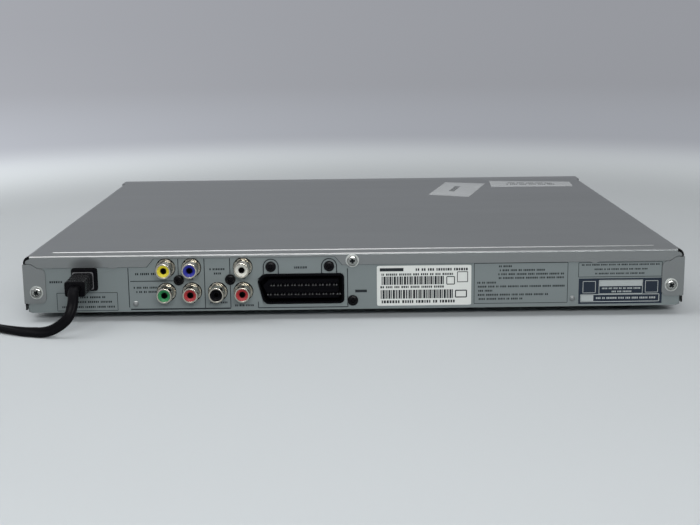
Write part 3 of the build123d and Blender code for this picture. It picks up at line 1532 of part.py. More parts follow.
def build_coil():
    """One unbroken flattened six-sided cord in two layers."""
    wire = coil_wire()
    start = wire.position_at(0)
    half_w, half_h = cord_width / 2, cord_height / 2
    corners = [(0, half_w, 0), (0, half_w / 2, half_h), (0, -half_w / 2, half_h),
               (0, -half_w, 0), (0, -half_w / 2, -half_h), (0, half_w / 2, -half_h)]
    section = Pos(start) * make_face(Polyline(*corners, close=True))
    coil = sweep(section, path=wire, binormal=wire.moved(Pos(0, 0, coil_start_radius)))
    print("coil length", round(wire.length, 1), "least self gap", round(coil_self_gap(wire), 2),
          "volume share", round(coil.volume / (section.area * wire.length), 4))
    return coil


coil_ends = coil_stations()
coil_entry = coil_ends[0][0] - coil_ends[0][1] * cord_width
coil_exit = coil_ends[-1][0] + coil_ends[-1][1] * cord_width
plug_way = coil_ends[-1][1]
plug_z = plug_height / 2
neck_start = Vector(coil_exit.X, coil_exit.Y, 0) + plug_way * tail_length + Vector(0, 0, plug_z)


def along_plug(width, height, distance):
    """A face with cut corners across the plug's axis at a distance from the neck's start."""
    plane = Plane(origin=neck_start + plug_way * distance, x_dir=(1, 0, 0), z_dir=plug_way)
    flat = Rectangle(width, height)
    return plane * chamfer(flat.vertices(), height * plug_corner)


def build_plug():
    """Flat wall plug with a tapered neck, a waist for the fingers and a flared root."""
    sections = (
        (neck_width, neck_height, 0.0),
        (plug_tip_width, plug_tip_height, neck_length),
        (plug_waist_width, plug_height, neck_length + plug_body_length / 2),
        (plug_root_width, plug_height, neck_length + plug_body_length * 0.8),
        (plug_root_width, plug_height, neck_length + plug_body_length),
    )
    return loft([along_plug(*section) for section in sections], ruled=True)


def plug_rod(shift, start, end, radius):
    """A round rod along the plug's axis."""
    origin = neck_start + plug_way * start + Vector(shift, 0, 0)
    return extrude(Plane(origin=origin, z_dir=plug_way) * Circle(radius), amount=end - start)


def build_plug_pins():
    """Two round pins."""
    root = neck_length + plug_body_length
    return [
        plug_rod(side * plug_pin_pitch / 2, root, root + plug_pin_length, plug_pin_radius) for side in (-1, 1)
    ]


def build_tie():
    """A band round all the turns at the far side of the coil."""
    inner = coil_start_radius - coil_half_turns * coil_pitch / 2 - cord_width / 2 - tie_clearance
    outer = coil_start_radius + cord_width / 2 + tie_clearance
    low = coil_lift - tie_thickness - 0.1
    high = coil_lift + cord_height + coil_layer_pitch + 0.1
    x = (coil_x - tie_width / 2, coil_x + tie_width / 2)
    band = block(x, (coil_y - outer - tie_thickness, coil_y - inner + tie_thickness), (low, high + tie_thickness))
    return band - block((x[0] - 1, x[1] + 1), (coil_y - outer, coil_y - inner), (low + tie_thickness, high))


lead_start = (sleeve_x, sleeve_tip_y, sleeve_z)
lead_points = [lead_start]
lead_points += [(sleeve_x + x, sleeve_tip_y + y, z) for x, y, z in lead_route]
lead_points.append((coil_entry.X, coil_entry.Y, coil_entry.Z))
save("mains_lead", build_tube(lead_points, "mains_lead"))
save("lead_coil", build_coil())
tail_points = [
    tuple(coil_exit),
    tuple(coil_exit + plug_way * (tail_length * 0.45)),
    tuple(neck_start - plug_way * (tail_length * 0.3)),
    tuple(neck_start),
]
save("lead_tail", build_tube(tail_points, "lead_tail"))
save("wall_plug", build_plug())
save("wall_plug_pins", *build_plug_pins())
save("lead_tie", build_tie())
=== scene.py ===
"""Dresses a flat disc player: finishes, sockets, screws, printing, stickers, mains lead and studio."""

import json
import logging
import math
from dataclasses import dataclass
from enum import Enum

import bmesh
import bpy
import numpy as np
from mathutils import Matrix

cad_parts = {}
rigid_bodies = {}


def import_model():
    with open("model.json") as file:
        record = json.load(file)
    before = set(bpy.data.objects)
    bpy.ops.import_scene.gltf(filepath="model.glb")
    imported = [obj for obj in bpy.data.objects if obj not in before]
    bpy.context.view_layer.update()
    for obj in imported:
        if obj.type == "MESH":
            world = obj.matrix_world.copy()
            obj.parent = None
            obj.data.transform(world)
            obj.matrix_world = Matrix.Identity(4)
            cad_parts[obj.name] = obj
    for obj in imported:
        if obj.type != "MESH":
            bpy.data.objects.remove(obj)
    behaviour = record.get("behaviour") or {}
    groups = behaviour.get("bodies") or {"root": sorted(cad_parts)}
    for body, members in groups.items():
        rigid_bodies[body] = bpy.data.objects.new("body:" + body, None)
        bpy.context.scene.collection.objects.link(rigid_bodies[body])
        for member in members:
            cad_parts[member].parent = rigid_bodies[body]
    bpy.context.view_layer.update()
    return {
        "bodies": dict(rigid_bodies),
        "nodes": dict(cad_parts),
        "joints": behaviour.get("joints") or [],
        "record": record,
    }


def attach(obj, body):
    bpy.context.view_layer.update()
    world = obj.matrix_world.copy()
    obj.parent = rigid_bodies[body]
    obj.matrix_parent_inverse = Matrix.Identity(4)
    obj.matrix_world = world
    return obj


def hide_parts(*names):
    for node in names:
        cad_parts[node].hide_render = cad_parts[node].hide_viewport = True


LOG = logging.getLogger("disc_player")
MM = 0.001
CASE = "case"
PANEL_Y = 149.7
COVER_Y = 150.5
TOP_Z = 37.0
SHARP_DEGREES = 35.0
INK_SUNK, INK_PROUD = 0.01, 0.03

Colour = tuple[float, float, float]
Point = tuple[float, float, float]
Pair = tuple[float, float]
Corners = tuple[Pair, ...]
Inputs = dict[str, object]
Shell = tuple[np.ndarray, np.ndarray]


# Shader maths
class Value:
    """A number in a material's nodes that can stand in sums, products and comparisons."""

    def __init__(self, shade: "Shade", socket: bpy.types.NodeSocket) -> None:
        """Keeps the material under construction and the output that carries the number."""
        self.shade = shade
        self.socket = socket

    def _maths(self, operation: str, first: object, second: object = 0.0) -> "Value":
        """Adds one Math node over two numbers or values."""
        made = self.shade.node("ShaderNodeMath", {"operation": operation}, {0: first, 1: second})
        return Value(self.shade, made.outputs[0])

    def __add__(self, other: object) -> "Value":
        """The sum."""
        return self._maths("ADD", self, other)

    def __radd__(self, other: object) -> "Value":
        """The sum, from the right."""
        return self._maths("ADD", other, self)

    def __sub__(self, other: object) -> "Value":
        """The difference."""
        return self._maths("SUBTRACT", self, other)

    def __rsub__(self, other: object) -> "Value":
        """The difference, from the right."""
        return self._maths("SUBTRACT", other, self)

    def __mul__(self, other: object) -> "Value":
        """The product."""
        return self._maths("MULTIPLY", self, other)

    def __rmul__(self, other: object) -> "Value":
        """The product, from the right."""
        return self._maths("MULTIPLY", other, self)

    def __truediv__(self, other: object) -> "Value":
        """The quotient."""
        return self._maths("DIVIDE", self, other)

    def __gt__(self, other: object) -> "Value":
        """One where this value is the larger, and nought elsewhere."""
        return self._maths("GREATER_THAN", self, other)

    def root(self) -> "Value":
        """The square root."""
        return self._maths("SQRT", self)

    def ramp(self, low: float, high: float) -> "Value":
        """Nought below low, one above high and a smooth step between.

        Args:
            low: Where the step starts.
            high: Where it ends.

        Returns:
            The step.
        """
        settings = {"interpolation_type": "SMOOTHSTEP", "clamp": True}
        inputs = {"Value": self, "From Min": low, "From Max": high}
        made = self.shade.node("ShaderNodeMapRange", settings, inputs)
        return Value(self.shade, made.outputs["Result"])


class Shade:
    """A node material, or the world, under construction."""

    def __init__(self, owner: bpy.types.ID) -> None:
        """Empties the node tree of a material or a world.

        Args:
            owner: The material or the world.
        """
        self.owner = owner
        owner.use_nodes = True
        self.tree = owner.node_tree
        self.tree.nodes.clear()

    def node(self, kind: str, settings: Inputs | None = None, inputs: dict | None = None) -> bpy.types.Node:
        """Adds one node.

        Args:
            kind: The node's type.
            settings: Its settings, set first.
            inputs: Numbers, colours or values for its sockets, by name or place.

        Returns:
            The node.
        """
        made = self.tree.nodes.new(kind)
        for key, value in (settings or {}).items():
            setattr(made, key, value)
        for key, value in (inputs or {}).items():
            socket = made.inputs[key]
            if isinstance(value, Value):
                self.tree.links.new(value.socket, socket)
            elif isinstance(value, bpy.types.NodeSocket):
                self.tree.links.new(value, socket)
            elif socket.type == "RGBA":
                socket.default_value = (*value, 1.0)
            else:
                socket.default_value = value
        return made

    def axis(self, letter: str, kind: str = "Object") -> Value:
        """One part of the point on the piece in metres, or of another of its coordinates."""
        point = self.node("ShaderNodeTexCoord").outputs[kind]
        return Value(self, self.node("ShaderNodeSeparateXYZ", inputs={"Vector": point}).outputs[letter])

    def facing(self, letter: str) -> Value:
        """How far the surface faces along one axis."""
        return self.axis(letter, "Normal")

    def between(self, letter: str, low: float, high: float) -> Value:
        """One between two places along an axis, given in millimetres, and nought elsewhere."""
        place = self.axis(letter)
        return (place > low * MM) * ((high * MM - place) > 0.0)

    def place(self, stretch: Point = (1.0, 1.0, 1.0)) -> bpy.types.NodeSocket:
        """The point on the piece in metres, stretched along each axis."""
        point = self.node("ShaderNodeTexCoord").outputs["Object"]
        return self.node("ShaderNodeMapping", inputs={"Vector": point, "Scale": stretch}).outputs["Vector"]

    def noise(self, scale: float, detail: float = 2.0, stretch: Point = (1.0, 1.0, 1.0)) -> Value:
        """Smooth noise from nought to one, with so many cells to a metre."""
        inputs = {"Vector": self.place(stretch), "Scale": scale, "Detail": detail}
        return Value(self, self.node("ShaderNodeTexNoise", inputs=inputs).outputs["Fac"])

    def mix(self, share: object, first: object, second: object) -> bpy.types.NodeSocket:
        """One colour turning into another as share goes from nought to one."""
        return self.node("ShaderNodeMix", {"data_type": "RGBA"}, {0: share, 6: first, 7: second}).outputs[2]

    def strengthened(self, colour: object, factor: Value) -> bpy.types.NodeSocket:
        """A colour times a number."""
        inputs = {0: colour, "Scale": factor}
        return self.node("ShaderNodeVectorMath", {"operation": "SCALE"}, inputs).outputs[0]

    def bump(self, height: Value, strength: float, distance: float) -> bpy.types.NodeSocket:
        """A normal that follows a height given as a share of distance, in metres."""
        inputs = {"Height": height, "Strength": strength, "Distance": distance}
        return self.node("ShaderNodeBump", inputs=inputs).outputs["Normal"]

    def close(self, surface: bpy.types.NodeSocket, kind: str = "ShaderNodeOutputMaterial") -> bpy.types.ID:
        """Links the surface to an output node of that type, and gives the finished material or world."""
        self.node(kind, inputs={"Surface": surface})
        return self.owner


# Finishes
class Tone(Enum):
    """The colours of the object's finishes, as light reflected."""

    COVER = (0.185, 0.198, 0.200)
    PANEL = (0.154, 0.180, 0.182)
    BEZEL = (0.180, 0.190, 0.200)
    KEY = (0.240, 0.250, 0.260)
    # Painted highlights on the cover's bead and bend.
    POLISHED = (0.480, 0.490, 0.490)
    BURNISHED = (0.660, 0.670, 0.660)
    DARK = (0.0024, 0.0024, 0.0032)
    JACKET = (0.0032, 0.0032, 0.0040)
    CASE_BLACK = (0.012, 0.012, 0.014)
    SMOKE = (0.020, 0.022, 0.026)
    BOARD_GREEN = (0.020, 0.095, 0.035)
    BOARD_BROWN = (0.260, 0.130, 0.045)
    COPPER_GREEN = (0.045, 0.180, 0.060)
    COPPER_BROWN = (0.420, 0.230, 0.090)
    SOLDER = (0.620, 0.630, 0.620)
    FOOT = (0.030, 0.030, 0.032)
    RUBBER = (0.022, 0.022, 0.022)
    # Painted highlight on the sleeve's collar and ribs.
    WORN = (0.130, 0.130, 0.136)
    SILVER = (0.360, 0.370, 0.350)
    ZINC = (0.640, 0.660, 0.640)
    NICKEL = (0.500, 0.475, 0.410)
    STEEL = (0.560, 0.570, 0.580)
    CONTACT = (0.300, 0.300, 0.300)
    BRASS = (0.720, 0.600, 0.330)
    YELLOW = (0.560, 0.480, 0.030)
    BLUE = (0.016, 0.021, 0.250)
    GREEN = (0.018, 0.185, 0.060)
    RED = (0.310, 0.024, 0.028)
    WHITE = (0.560, 0.560, 0.510)
    LOADER = (0.035, 0.036, 0.040)
    GEAR = (0.700, 0.690, 0.640)
    LENS = (0.060, 0.050, 0.160)
    INK = (0.014, 0.018, 0.021)
    PALE_INK = (0.300, 0.330, 0.330)
    LABEL = (0.560, 0.580, 0.560)
    PLATE = (0.013, 0.020, 0.032)
    STICKER = (0.420, 0.440, 0.450)


@dataclass(frozen=True)
class Finish:
    """A finish with its name and main tone. Each kind of surface says what feeds its shader."""

    name: str
    tone: Tone

    def shaded(self, factor: float) -> Colour:
        """The finish's main colour made lighter or darker by one factor."""
        return tuple(min(1.0, part * factor) for part in self.tone.value)

    def sockets(self, shade: Shade) -> Inputs:
        """What feeds the surface shader of the material under construction, by socket."""
        raise NotImplementedError

    def make(self) -> bpy.types.Material:
        """Builds the material."""
        shade = Shade(bpy.data.materials.new(self.name))
        return shade.close(shade.node("ShaderNodeBsdfPrincipled", inputs=self.sockets(shade)).outputs["BSDF"])


@dataclass(frozen=True)
class Paint(Finish):
    """Metallic grey paint on sheet steel: fine flake, a slight unevenness, wiped dust and orange peel."""

    roughness: float = 0.30
    flake: float = 0.10
    cloud: float = 0.06
    peel: float = 0.04
    metal: float = 0.45
    coat: float = 0.10
    gloss: float = 0.2

    def sockets(self, shade: Shade) -> Inputs:
        """What feeds the shader of plain paint.

        Args:
            shade: The material under construction.

        Returns:
            Each socket's value.
        """
        flake, cloud = shade.noise(1800.0, 3.0), shade.noise(9.0, 4.0)
        wipe = shade.noise(14.0, 5.0, (0.35, 1.6, 1.0))
        tone = (flake - 0.5) * (2.0 * self.flake) + (cloud - 0.5) * (2.0 * self.cloud) + 0.5
        body = shade.mix(tone, self.shaded(0.72), self.shaded(1.28))
        return {
            "Base Color": shade.mix(wipe.ramp(0.56, 0.74) * 0.10, body, self.shaded(1.9)),
            "Roughness": wipe * 0.12 + (self.roughness - 0.06),
            "Metallic": self.metal,
            "Specular IOR Level": self.gloss,
            "Coat Weight": self.coat,
            "Coat Roughness": 0.16,
            "Normal": shade.bump(shade.noise(900.0, 2.0), self.peel, 0.00004),
        }


@dataclass(frozen=True)
class CoverPaint(Paint):
    """The cover's paint with painted shade on its cut ends, painted highlights on its bead and bend, and a
    painted reflection on its lip.
    """

    cut_depth: Pair = (145.5, 149.45)
    bead_depth: Pair = (138.0, 148.6)
    reflection_middle: Pair = (145.6, 31.8)
    reflection_reach: Pair = (10.5, 5.6)

    def cut(self, shade: Shade) -> Value:
        """One where painted shade goes: the sheet's cut ends, which face +Y between two depths."""
        return (shade.facing("Y") > 0.85) * shade.between("Y", *self.cut_depth)

    def bead_highlight(self, shade: Shade) -> Value:
        """A painted highlight on the bead's slopes between two depths, which face both up and +Y, weaker
        towards -X.
        """
        faced = (shade.facing("Y") > 0.25) * (shade.facing("Z") > 0.25) * shade.between("Y", *self.bead_depth)
        return faced * (shade.axis("X").ramp(-0.20, -0.04) * 0.6 + 0.4)

    def bend_highlight(self, shade: Shade) -> Value:
        """A painted highlight on the upper half of the bend behind the bead, weaker towards -X.

        Args:
            shade: The material under construction.

        Returns:
            Its share.
        """
        behind = shade.axis("Y") > self.bead_depth[1] * MM
        faced = (shade.facing("Y") > 0.10) * (shade.facing("Z") > 0.62) * behind
        return faced * (shade.axis("X").ramp(-0.18, 0.03) * 0.85 + 0.15)

    def sleeve_reflection(self, shade: Shade) -> Value:
        """A painted reflection of the dark sleeve on the rear lip, as a soft dark patch: s = 1 - ((x - x0) /
        a)^2 - ((z - z0) / b)^2.

        Args:
            shade: The material under construction.

        Returns:
            Its share.
        """
        u, v = (
            (shade.axis(letter) - middle * MM) / (reach * MM)
            for letter, middle, reach in zip("XZ", self.reflection_middle, self.reflection_reach)
        )
        return (1.0 - u * u - v * v).ramp(0.0, 1.0) * (shade.axis("Y") > 0.15) * 0.5

    def sockets(self, shade: Shade) -> Inputs:
        """What feeds the shader of the paint with its painted shade, highlights and reflection laid over it.

        Args:
            shade: The material under construction.

        Returns:
            Each socket's value.
        """
        made = super().sockets(shade)
        bend_highlight = self.bend_highlight(shade)
        marks = (
            # Painted shade: the cut ends are darkened to near black.
            (self.cut(shade), Tone.DARK),
            # Painted highlight on the bead.
            (self.bead_highlight(shade), Tone.POLISHED),
            # Painted highlight on the bend.
            (bend_highlight, Tone.BURNISHED),
            # Painted reflection of the sleeve on the rear lip.
            (self.sleeve_reflection(shade), Tone.DARK),
        )
        for share, tone in marks:
            made["Base Color"] = shade.mix(share, made["Base Color"], tone.value)
        # The bend's painted highlight loses its metal, so that it shows as a pale line.
        made["Metallic"] = self.metal - bend_highlight * self.metal
        return made


@dataclass(frozen=True)
class Plastic(Finish):
    """Moulded plastic with a fine spark texture."""

    roughness: float = 0.45
    grain: float = 0.25
    grain_scale: float = 1400.0
    gloss: float = 0.5

    def sockets(self, shade: Shade) -> Inputs:
        """What feeds the shader of plain plastic.

        Args:
            shade: The material under construction.

        Returns:
            Each socket's value.
        """
        mottle, fine = shade.noise(60.0, 4.0), shade.noise(self.grain_scale, 3.0)
        return {
            "Base Color": shade.mix(mottle, self.shaded(0.86), self.shaded(1.16)),
            "Roughness": (fine - 0.5) * 0.16 + mottle * 0.06 + (self.roughness - 0.03),
            "Specular IOR Level": self.gloss,
            "Normal": shade.bump(fine, self.grain, 0.00005),
        }


@dataclass(frozen=True)
class SleevePlastic(Plastic):
    """Plastic with a painted highlight where it faces +Y: much on a collar, and a little on the ribs past it.
    """

    collar_depth: Pair = (151.6, 152.2)
    rib_end: float = 166.0

    def sockets(self, shade: Shade) -> Inputs:
        """What feeds the shader of plastic with its painted highlight.

        Args:
            shade: The material under construction.

        Returns:
            Each socket's value.
        """
        made = super().sockets(shade)
        start, collar = self.collar_depth
        faced = (shade.facing("Y") > 0.35) * shade.between("Y", start, self.rib_end)
        # Painted highlight: paler on the collar's face and faintly on the ribs.
        highlight_share = faced * (((collar * MM - shade.axis("Y")) > 0.0) * 0.94 + 0.06)
        made["Base Color"] = shade.mix(highlight_share, made["Base Color"], Tone.WORN.value)
        return made


@dataclass(frozen=True)
class Metal(Finish):
    """Bare or plated metal with fine drawing marks and a little tarnish."""

    roughness: float = 0.25
    marks: float = 0.10
    along: Point = (1.0, 1.0, 0.08)
    tarnish: float = 0.25

    def sockets(self, shade: Shade) -> Inputs:
        """What feeds the shader of metal.

        Args:
            shade: The material under construction.

        Returns:
            Each socket's value.
        """
        lines = shade.noise(2600.0, 3.0, self.along)
        stain = shade.noise(420.0, 4.0).ramp(0.45, 0.75) * self.tarnish
        return {
            "Base Color": shade.mix(stain, self.tone.value, self.shaded(0.55)),
            "Metallic": 1.0,
            "Roughness": (lines - 0.5) * 0.18 + stain * 0.3 + self.roughness,
            "Normal": shade.bump(lines, self.marks, 0.00002),
        }


@dataclass(frozen=True)
class Board(Finish):
    """Printed board: lacquer over copper tracks with small pads."""

    track: Tone
    pitch: float = 260.0

    def spots(self, shade: Shade, settings: Inputs, scale: float) -> Value:
        """How near a point is to the cells of a pattern."""
        inputs = {"Vector": shade.place(), "Scale": scale}
        return Value(shade, shade.node("ShaderNodeTexVoronoi", settings, inputs).outputs["Distance"])

    def sockets(self, shade: Shade) -> Inputs:
        """What feeds the shader of a board.

        Args:
            shade: The material under construction.

        Returns:
            Each socket's value.
        """
        cells = self.spots(shade, {"distance": "MANHATTAN", "feature": "DISTANCE_TO_EDGE"}, self.pitch)
        pads = self.spots(shade, {"feature": "F1"}, self.pitch * 1.7)
        tracks, solder = 1.0 - cells.ramp(0.04, 0.09), 1.0 - pads.ramp(0.12, 0.17)
        body = shade.mix(tracks * 0.6, self.tone.value, self.track.value)
        return {
            "Base Color": shade.mix(solder * 0.7, body, Tone.SOLDER.value),
            "Roughness": 0.42 - tracks * 0.12,
            "Normal": shade.bump(tracks + solder, 0.3, 0.00005),
        }


@dataclass(frozen=True)
class Paper(Finish):
    """Coated label stock or flat print on it."""

    roughness: float = 0.6
    gloss: float = 0.5

    def sockets(self, shade: Shade) -> Inputs:
        """What feeds the shader of paper or print.

        Args:
            shade: The material under construction.

        Returns:
            Each socket's value.
        """
        fibre, stain = shade.noise(1500.0, 4.0), shade.noise(45.0, 3.0)
        return {
            "Base Color": shade.mix((fibre + stain) * 0.5, self.shaded(0.9), self.shaded(1.08)),
            "Roughness": fibre * 0.12 + (self.roughness - 0.06),
            "Specular IOR Level": self.gloss,
            "Normal": shade.bump(fibre, 0.12, 0.00002),
        }


@dataclass(frozen=True)
class Jacket(Finish):
    """Soft black cord jacket with scuffs and dust."""

    def sockets(self, shade: Shade) -> Inputs:
        """What feeds the shader of the jacket.

        Args:
            shade: The material under construction.

        Returns:
            Each socket's value.
        """
        scuff = shade.noise(240.0, 5.0).ramp(0.5, 0.8)
        return {
            "Base Color": shade.mix(scuff * 0.4, self.tone.value, self.shaded(2.4)),
            "Roughness": scuff * 0.18 + 0.38,
            "Specular IOR Level": 0.045,
            "Normal": shade.bump(shade.noise(2200.0, 2.0), 0.15, 0.00004),
        }


@dataclass(frozen=True)
class Glass(Finish):
    """Smoked acrylic with a hard gloss."""

    def sockets(self, shade: Shade) -> Inputs:
        """What feeds the shader of the acrylic.

        Args:
            shade: The material under construction.

        Returns:
            Each socket's value.
        """
        haze = shade.noise(80.0, 4.0)
        return {
            "Base Color": shade.mix(haze, self.tone.value, self.shaded(1.5)),
            "Roughness": haze * 0.05 + 0.06,
            "Coat Weight": 0.6,
            "Coat Roughness": 0.05,
            "Normal": shade.bump(haze, 0.03, 0.0001),
        }


def all_finishes() -> list[Finish]:
    """One finish for each material slot of the record, then those of the print and the washers.

    Returns:
        The finishes.
    """
    inserts = (Tone.YELLOW, Tone.BLUE, Tone.GREEN, Tone.RED, Tone.WHITE)
    return [
        CoverPaint("cover_paint", Tone.COVER),
        Paint("panel_paint", Tone.PANEL, 0.45, 0.06, 0.04, metal=0.2, coat=0.0, gloss=0.4),
        Plastic("bezel_plastic", Tone.BEZEL, 0.38),
        Plastic("key_plastic", Tone.KEY, 0.32, 0.1),
        Glass("window_glass", Tone.SMOKE),
        Plastic("display_dark", Tone.DARK, 0.2, 0.05),
        Board("board_green", Tone.BOARD_GREEN, Tone.COPPER_GREEN),
        Board("board_brown", Tone.BOARD_BROWN, Tone.COPPER_BROWN, 150.0),
        Plastic("component_black", Tone.CASE_BLACK, 0.5),
        Plastic("foot_plastic", Tone.FOOT, 0.4),
        Plastic("pad_rubber", Tone.RUBBER, 0.8, 0.6, 700.0),
        Metal("screw_silver", Tone.SILVER, 0.20, 0.03, tarnish=0.15),
        Plastic("screw_black", Tone.DARK, 0.3, 0.1, gloss=0.10),
        Metal("jack_nickel", Tone.NICKEL, 0.16, 0.03),
        *(Plastic(f"insert_{tone.name.lower()}", tone, 0.34, 0.08) for tone in inserts),
        Plastic("insert_black", Tone.DARK, 0.34, 0.08, gloss=0.08),
        Plastic("housing_black", Tone.DARK, 0.28, 0.1, gloss=0.015),
        Metal("contact_metal", Tone.CONTACT, 0.3),
        SleevePlastic("bushing_black", Tone.DARK, 0.26, 0.06, gloss=0.06),
        Plastic("loader_plastic", Tone.LOADER, 0.5, 0.3),
        Metal("clamp_steel", Tone.STEEL, 0.35, 0.2, (0.08, 1.0, 1.0)),
        Plastic("gear_white", Tone.GEAR, 0.45, 0.05),
        Glass("lens_glass", Tone.LENS),
        Plastic("belt_rubber", Tone.RUBBER, 0.6, 0.2),
        Plastic("wire_sleeve", Tone.WHITE, 0.5, 0.1),
        Jacket("lead_black", Tone.JACKET),
        Metal("pin_metal", Tone.BRASS, 0.25),
        Plastic("tie_black", Tone.DARK, 0.5, 0.4, gloss=0.12),
        Paper("ink", Tone.INK, 0.5, 0.15),
        Paper("pale_ink", Tone.PALE_INK, 0.5),
        Paper("label_paper", Tone.LABEL),
        Paper("plate_print", Tone.PLATE, 0.5, 0.15),
        Metal("washer_zinc", Tone.ZINC, 0.5, 0.03, tarnish=0.1),
        Paper("sticker_paper", Tone.STICKER),
    ]


class Finishes:
    """All materials by name, made once."""

    def __init__(self) -> None:
        """Makes the material of every finish."""
        self.materials = {finish.name: finish.make() for finish in all_finishes()}

    def dress_nodes(self, frame: dict) -> None:
        """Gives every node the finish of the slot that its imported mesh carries.

        Args:
            frame: The loaded frame.
        """
        slots = {entry["slot"] for entry in frame["record"]["materials"]}
        for node in frame["nodes"].values():
            carried = node.data.materials
            slot = carried[0].name.split(".")[0] if carried else ""
            if slot in slots:
                carried.clear()
                carried.append(self.materials[slot])


# Meshes
def grid_shell(points: np.ndarray, closed_u: bool, closed_v: bool) -> Shell:
    """A surface over two parameters: point (i, j) of the grid is joined to (i + 1, j) and (i, j + 1).

    Args:
        points: The grid, with shape (rows, columns, 3), in millimetres.
        closed_u: True if the last row joins the first.
        closed_v: True if the last column joins the first.

    Returns:
        The points as a list and the quads that join them.
    """
    rows, columns = points.shape[:2]
    index = np.arange(rows * columns).reshape(rows, columns)
    if closed_u:
        index = np.vstack([index, index[:1]])
    if closed_v:
        index = np.hstack([index, index[:, :1]])
    quads = np.stack([index[:-1, :-1], index[1:, :-1], index[1:, 1:], index[:-1, 1:]], axis=-1)
    return points.reshape(-1, 3), quads.reshape(-1, 4)


def capped(rings: np.ndarray) -> Shell:
    """Rings joined one to the next, with each end ring followed by its own middle.

    Args:
        rings: The rings' points, with shape (rings, points, 3).

    Returns:
        The closed shell.
    """
    middles = rings[[0, -1]].mean(axis=1, keepdims=True)
    first, last = np.repeat(middles, rings.shape[1], axis=1)[:, None]
    return grid_shell(np.concatenate([first, rings, last]), False, True)


def joined(shells: list[Shell]) -> Shell:
    """Several shells as one list of points and quads.

    Args:
        shells: The shells.

    Returns:
        The one shell.
    """
    starts = np.cumsum([0] + [len(points) for points, _ in shells[:-1]])
    return (
        np.concatenate([points for points, _ in shells]),
        np.concatenate([quads + start for (_, quads), start in zip(shells, starts)]),
    )


def turned(profile: list[Pair], steps: int) -> np.ndarray:
    """A profile turned about the third axis: (radius, height) goes to (r cos a, r sin a, h).

    Args:
        profile: Radius and height of each point.
        steps: Points round the axis.

    Returns:
        The grid, one row for each point of the profile.
    """
    line = np.array(profile, float)
    angle = np.linspace(0.0, 2 * np.pi, steps, endpoint=False)
    radius, height = line[:, :1], np.repeat(line[:, 1:], steps, axis=1)
    return np.stack([radius * np.cos(angle), radius * np.sin(angle), height], axis=-1)


def facing_back(points: np.ndarray, spot: Pair, y: float) -> np.ndarray:
    """Points whose third axis is turned to +Y and whose origin goes to a spot (x, z) at a depth."""
    return np.stack([spot[0] - points[..., 0], y + points[..., 2], spot[1] + points[..., 1]], axis=-1)


def turned_back(profile: list[Pair], steps: int, spot: Pair, y: float) -> Shell:
    """A closed profile turned about an axis that stands on a spot (x, z) at a depth and points to +Y."""
    return grid_shell(facing_back(turned(profile, steps), spot, y), True, True)


def rounded_ring(width: float, height: float, power: float, count: int) -> np.ndarray:
    """A soft rectangle: x = w/2 |cos a|^(2/n) and y = h/2 |sin a|^(2/n), each with its sign.

    Args:
        width: Its width.
        height: Its height.
        power: The power n, which draws the corners out as it grows.
        count: Points round it.

    Returns:
        The points, with shape (count, 2).
    """
    angle = np.linspace(0.0, 2 * np.pi, count, endpoint=False)
    way = np.stack([np.cos(angle), np.sin(angle)], axis=-1)
    return np.array([width / 2, height / 2]) * np.sign(way) * np.abs(way) ** (2 / power)


def half_circle(spot: Pair, radius: float) -> np.ndarray:
    """The upper half of a circle about a spot, from its end at +X to the other."""
    angle = np.linspace(0.0, np.pi, 24)
    return np.column_stack([spot[0] + radius * np.cos(angle), spot[1] + radius * np.sin(angle)])


def upright(outline: np.ndarray, y: float) -> np.ndarray:
    """An outline in (x, z) as points at one depth."""
    return np.insert(outline, 1, y, axis=1)


def drawn_in(rim: np.ndarray, levels: Corners) -> np.ndarray:
    """Copies of an outline, one to a level.

    Args:
        rim: The outline's points, with shape (count, 2).
        levels: Each copy's size as a share of the outline's, about its middle, and its height.

    Returns:
        The rings, with shape (levels, count, 3).
    """
    middle = rim.mean(axis=0)
    sized = [(middle + (rim - middle) * share, height) for share, height in levels]
    return np.array([np.insert(ring, 2, height, axis=1) for ring, height in sized])


def corner_arcs(corners: Corners, radius: np.ndarray, steps: int = 8) -> np.ndarray:
    """The arcs that round a polygon's corners, each drawn from its start over the turn between its two sides.

    Args:
        corners: The sharp corners in order.
        radius: Each arc's radius.
        steps: Points on each arc.

    Returns:
        The points, with shape (corners, steps, 2).
    """
    spots = np.array(corners)
    after = np.roll(spots, -1, axis=0) - spots
    after /= np.linalg.norm(after, axis=1, keepdims=True)
    before = np.roll(after, 1, axis=0)
    turn = np.arctan2(before[:, 0] * after[:, 1] - before[:, 1] * after[:, 0], (before * after).sum(axis=1))
    start = spots - before * (radius * np.tan(np.abs(turn) / 2))[:, None]
    left = np.stack([-before[:, 1], before[:, 0]], axis=-1) * np.sign(turn)[:, None]
    angle = turn[:, None] * np.linspace(0.0, 1.0, steps)[None, :]
    sweep = np.sin(np.abs(angle))[..., None] * before[:, None] - np.cos(angle)[..., None] * left[:, None]
    return start[:, None] + radius[:, None, None] * (left[:, None] + sweep)


def boxes(rows: np.ndarray) -> Shell:
    """Closed blocks, each from its lowest and highest corner.

    Args:
        rows: One row of six numbers for each block, low corner first.

    Returns:
        Eight points and six quads for each block.
    """
    low, high = rows[:, None, :3], rows[:, None, 3:]
    pick = np.array([[(i >> axis) & 1 for axis in range(3)] for i in range(8)])
    points = np.where(pick[None] == 1, high, low).reshape(-1, 3)
    quads = np.array([[0, 2, 3, 1], [4, 5, 7, 6], [0, 1, 5, 4], [2, 6, 7, 3], [0, 4, 6, 2], [1, 3, 7, 5]])
    offsets = np.arange(len(rows))[:, None, None] * 8
    return points, (quads[None] + offsets).reshape(-1, 4)


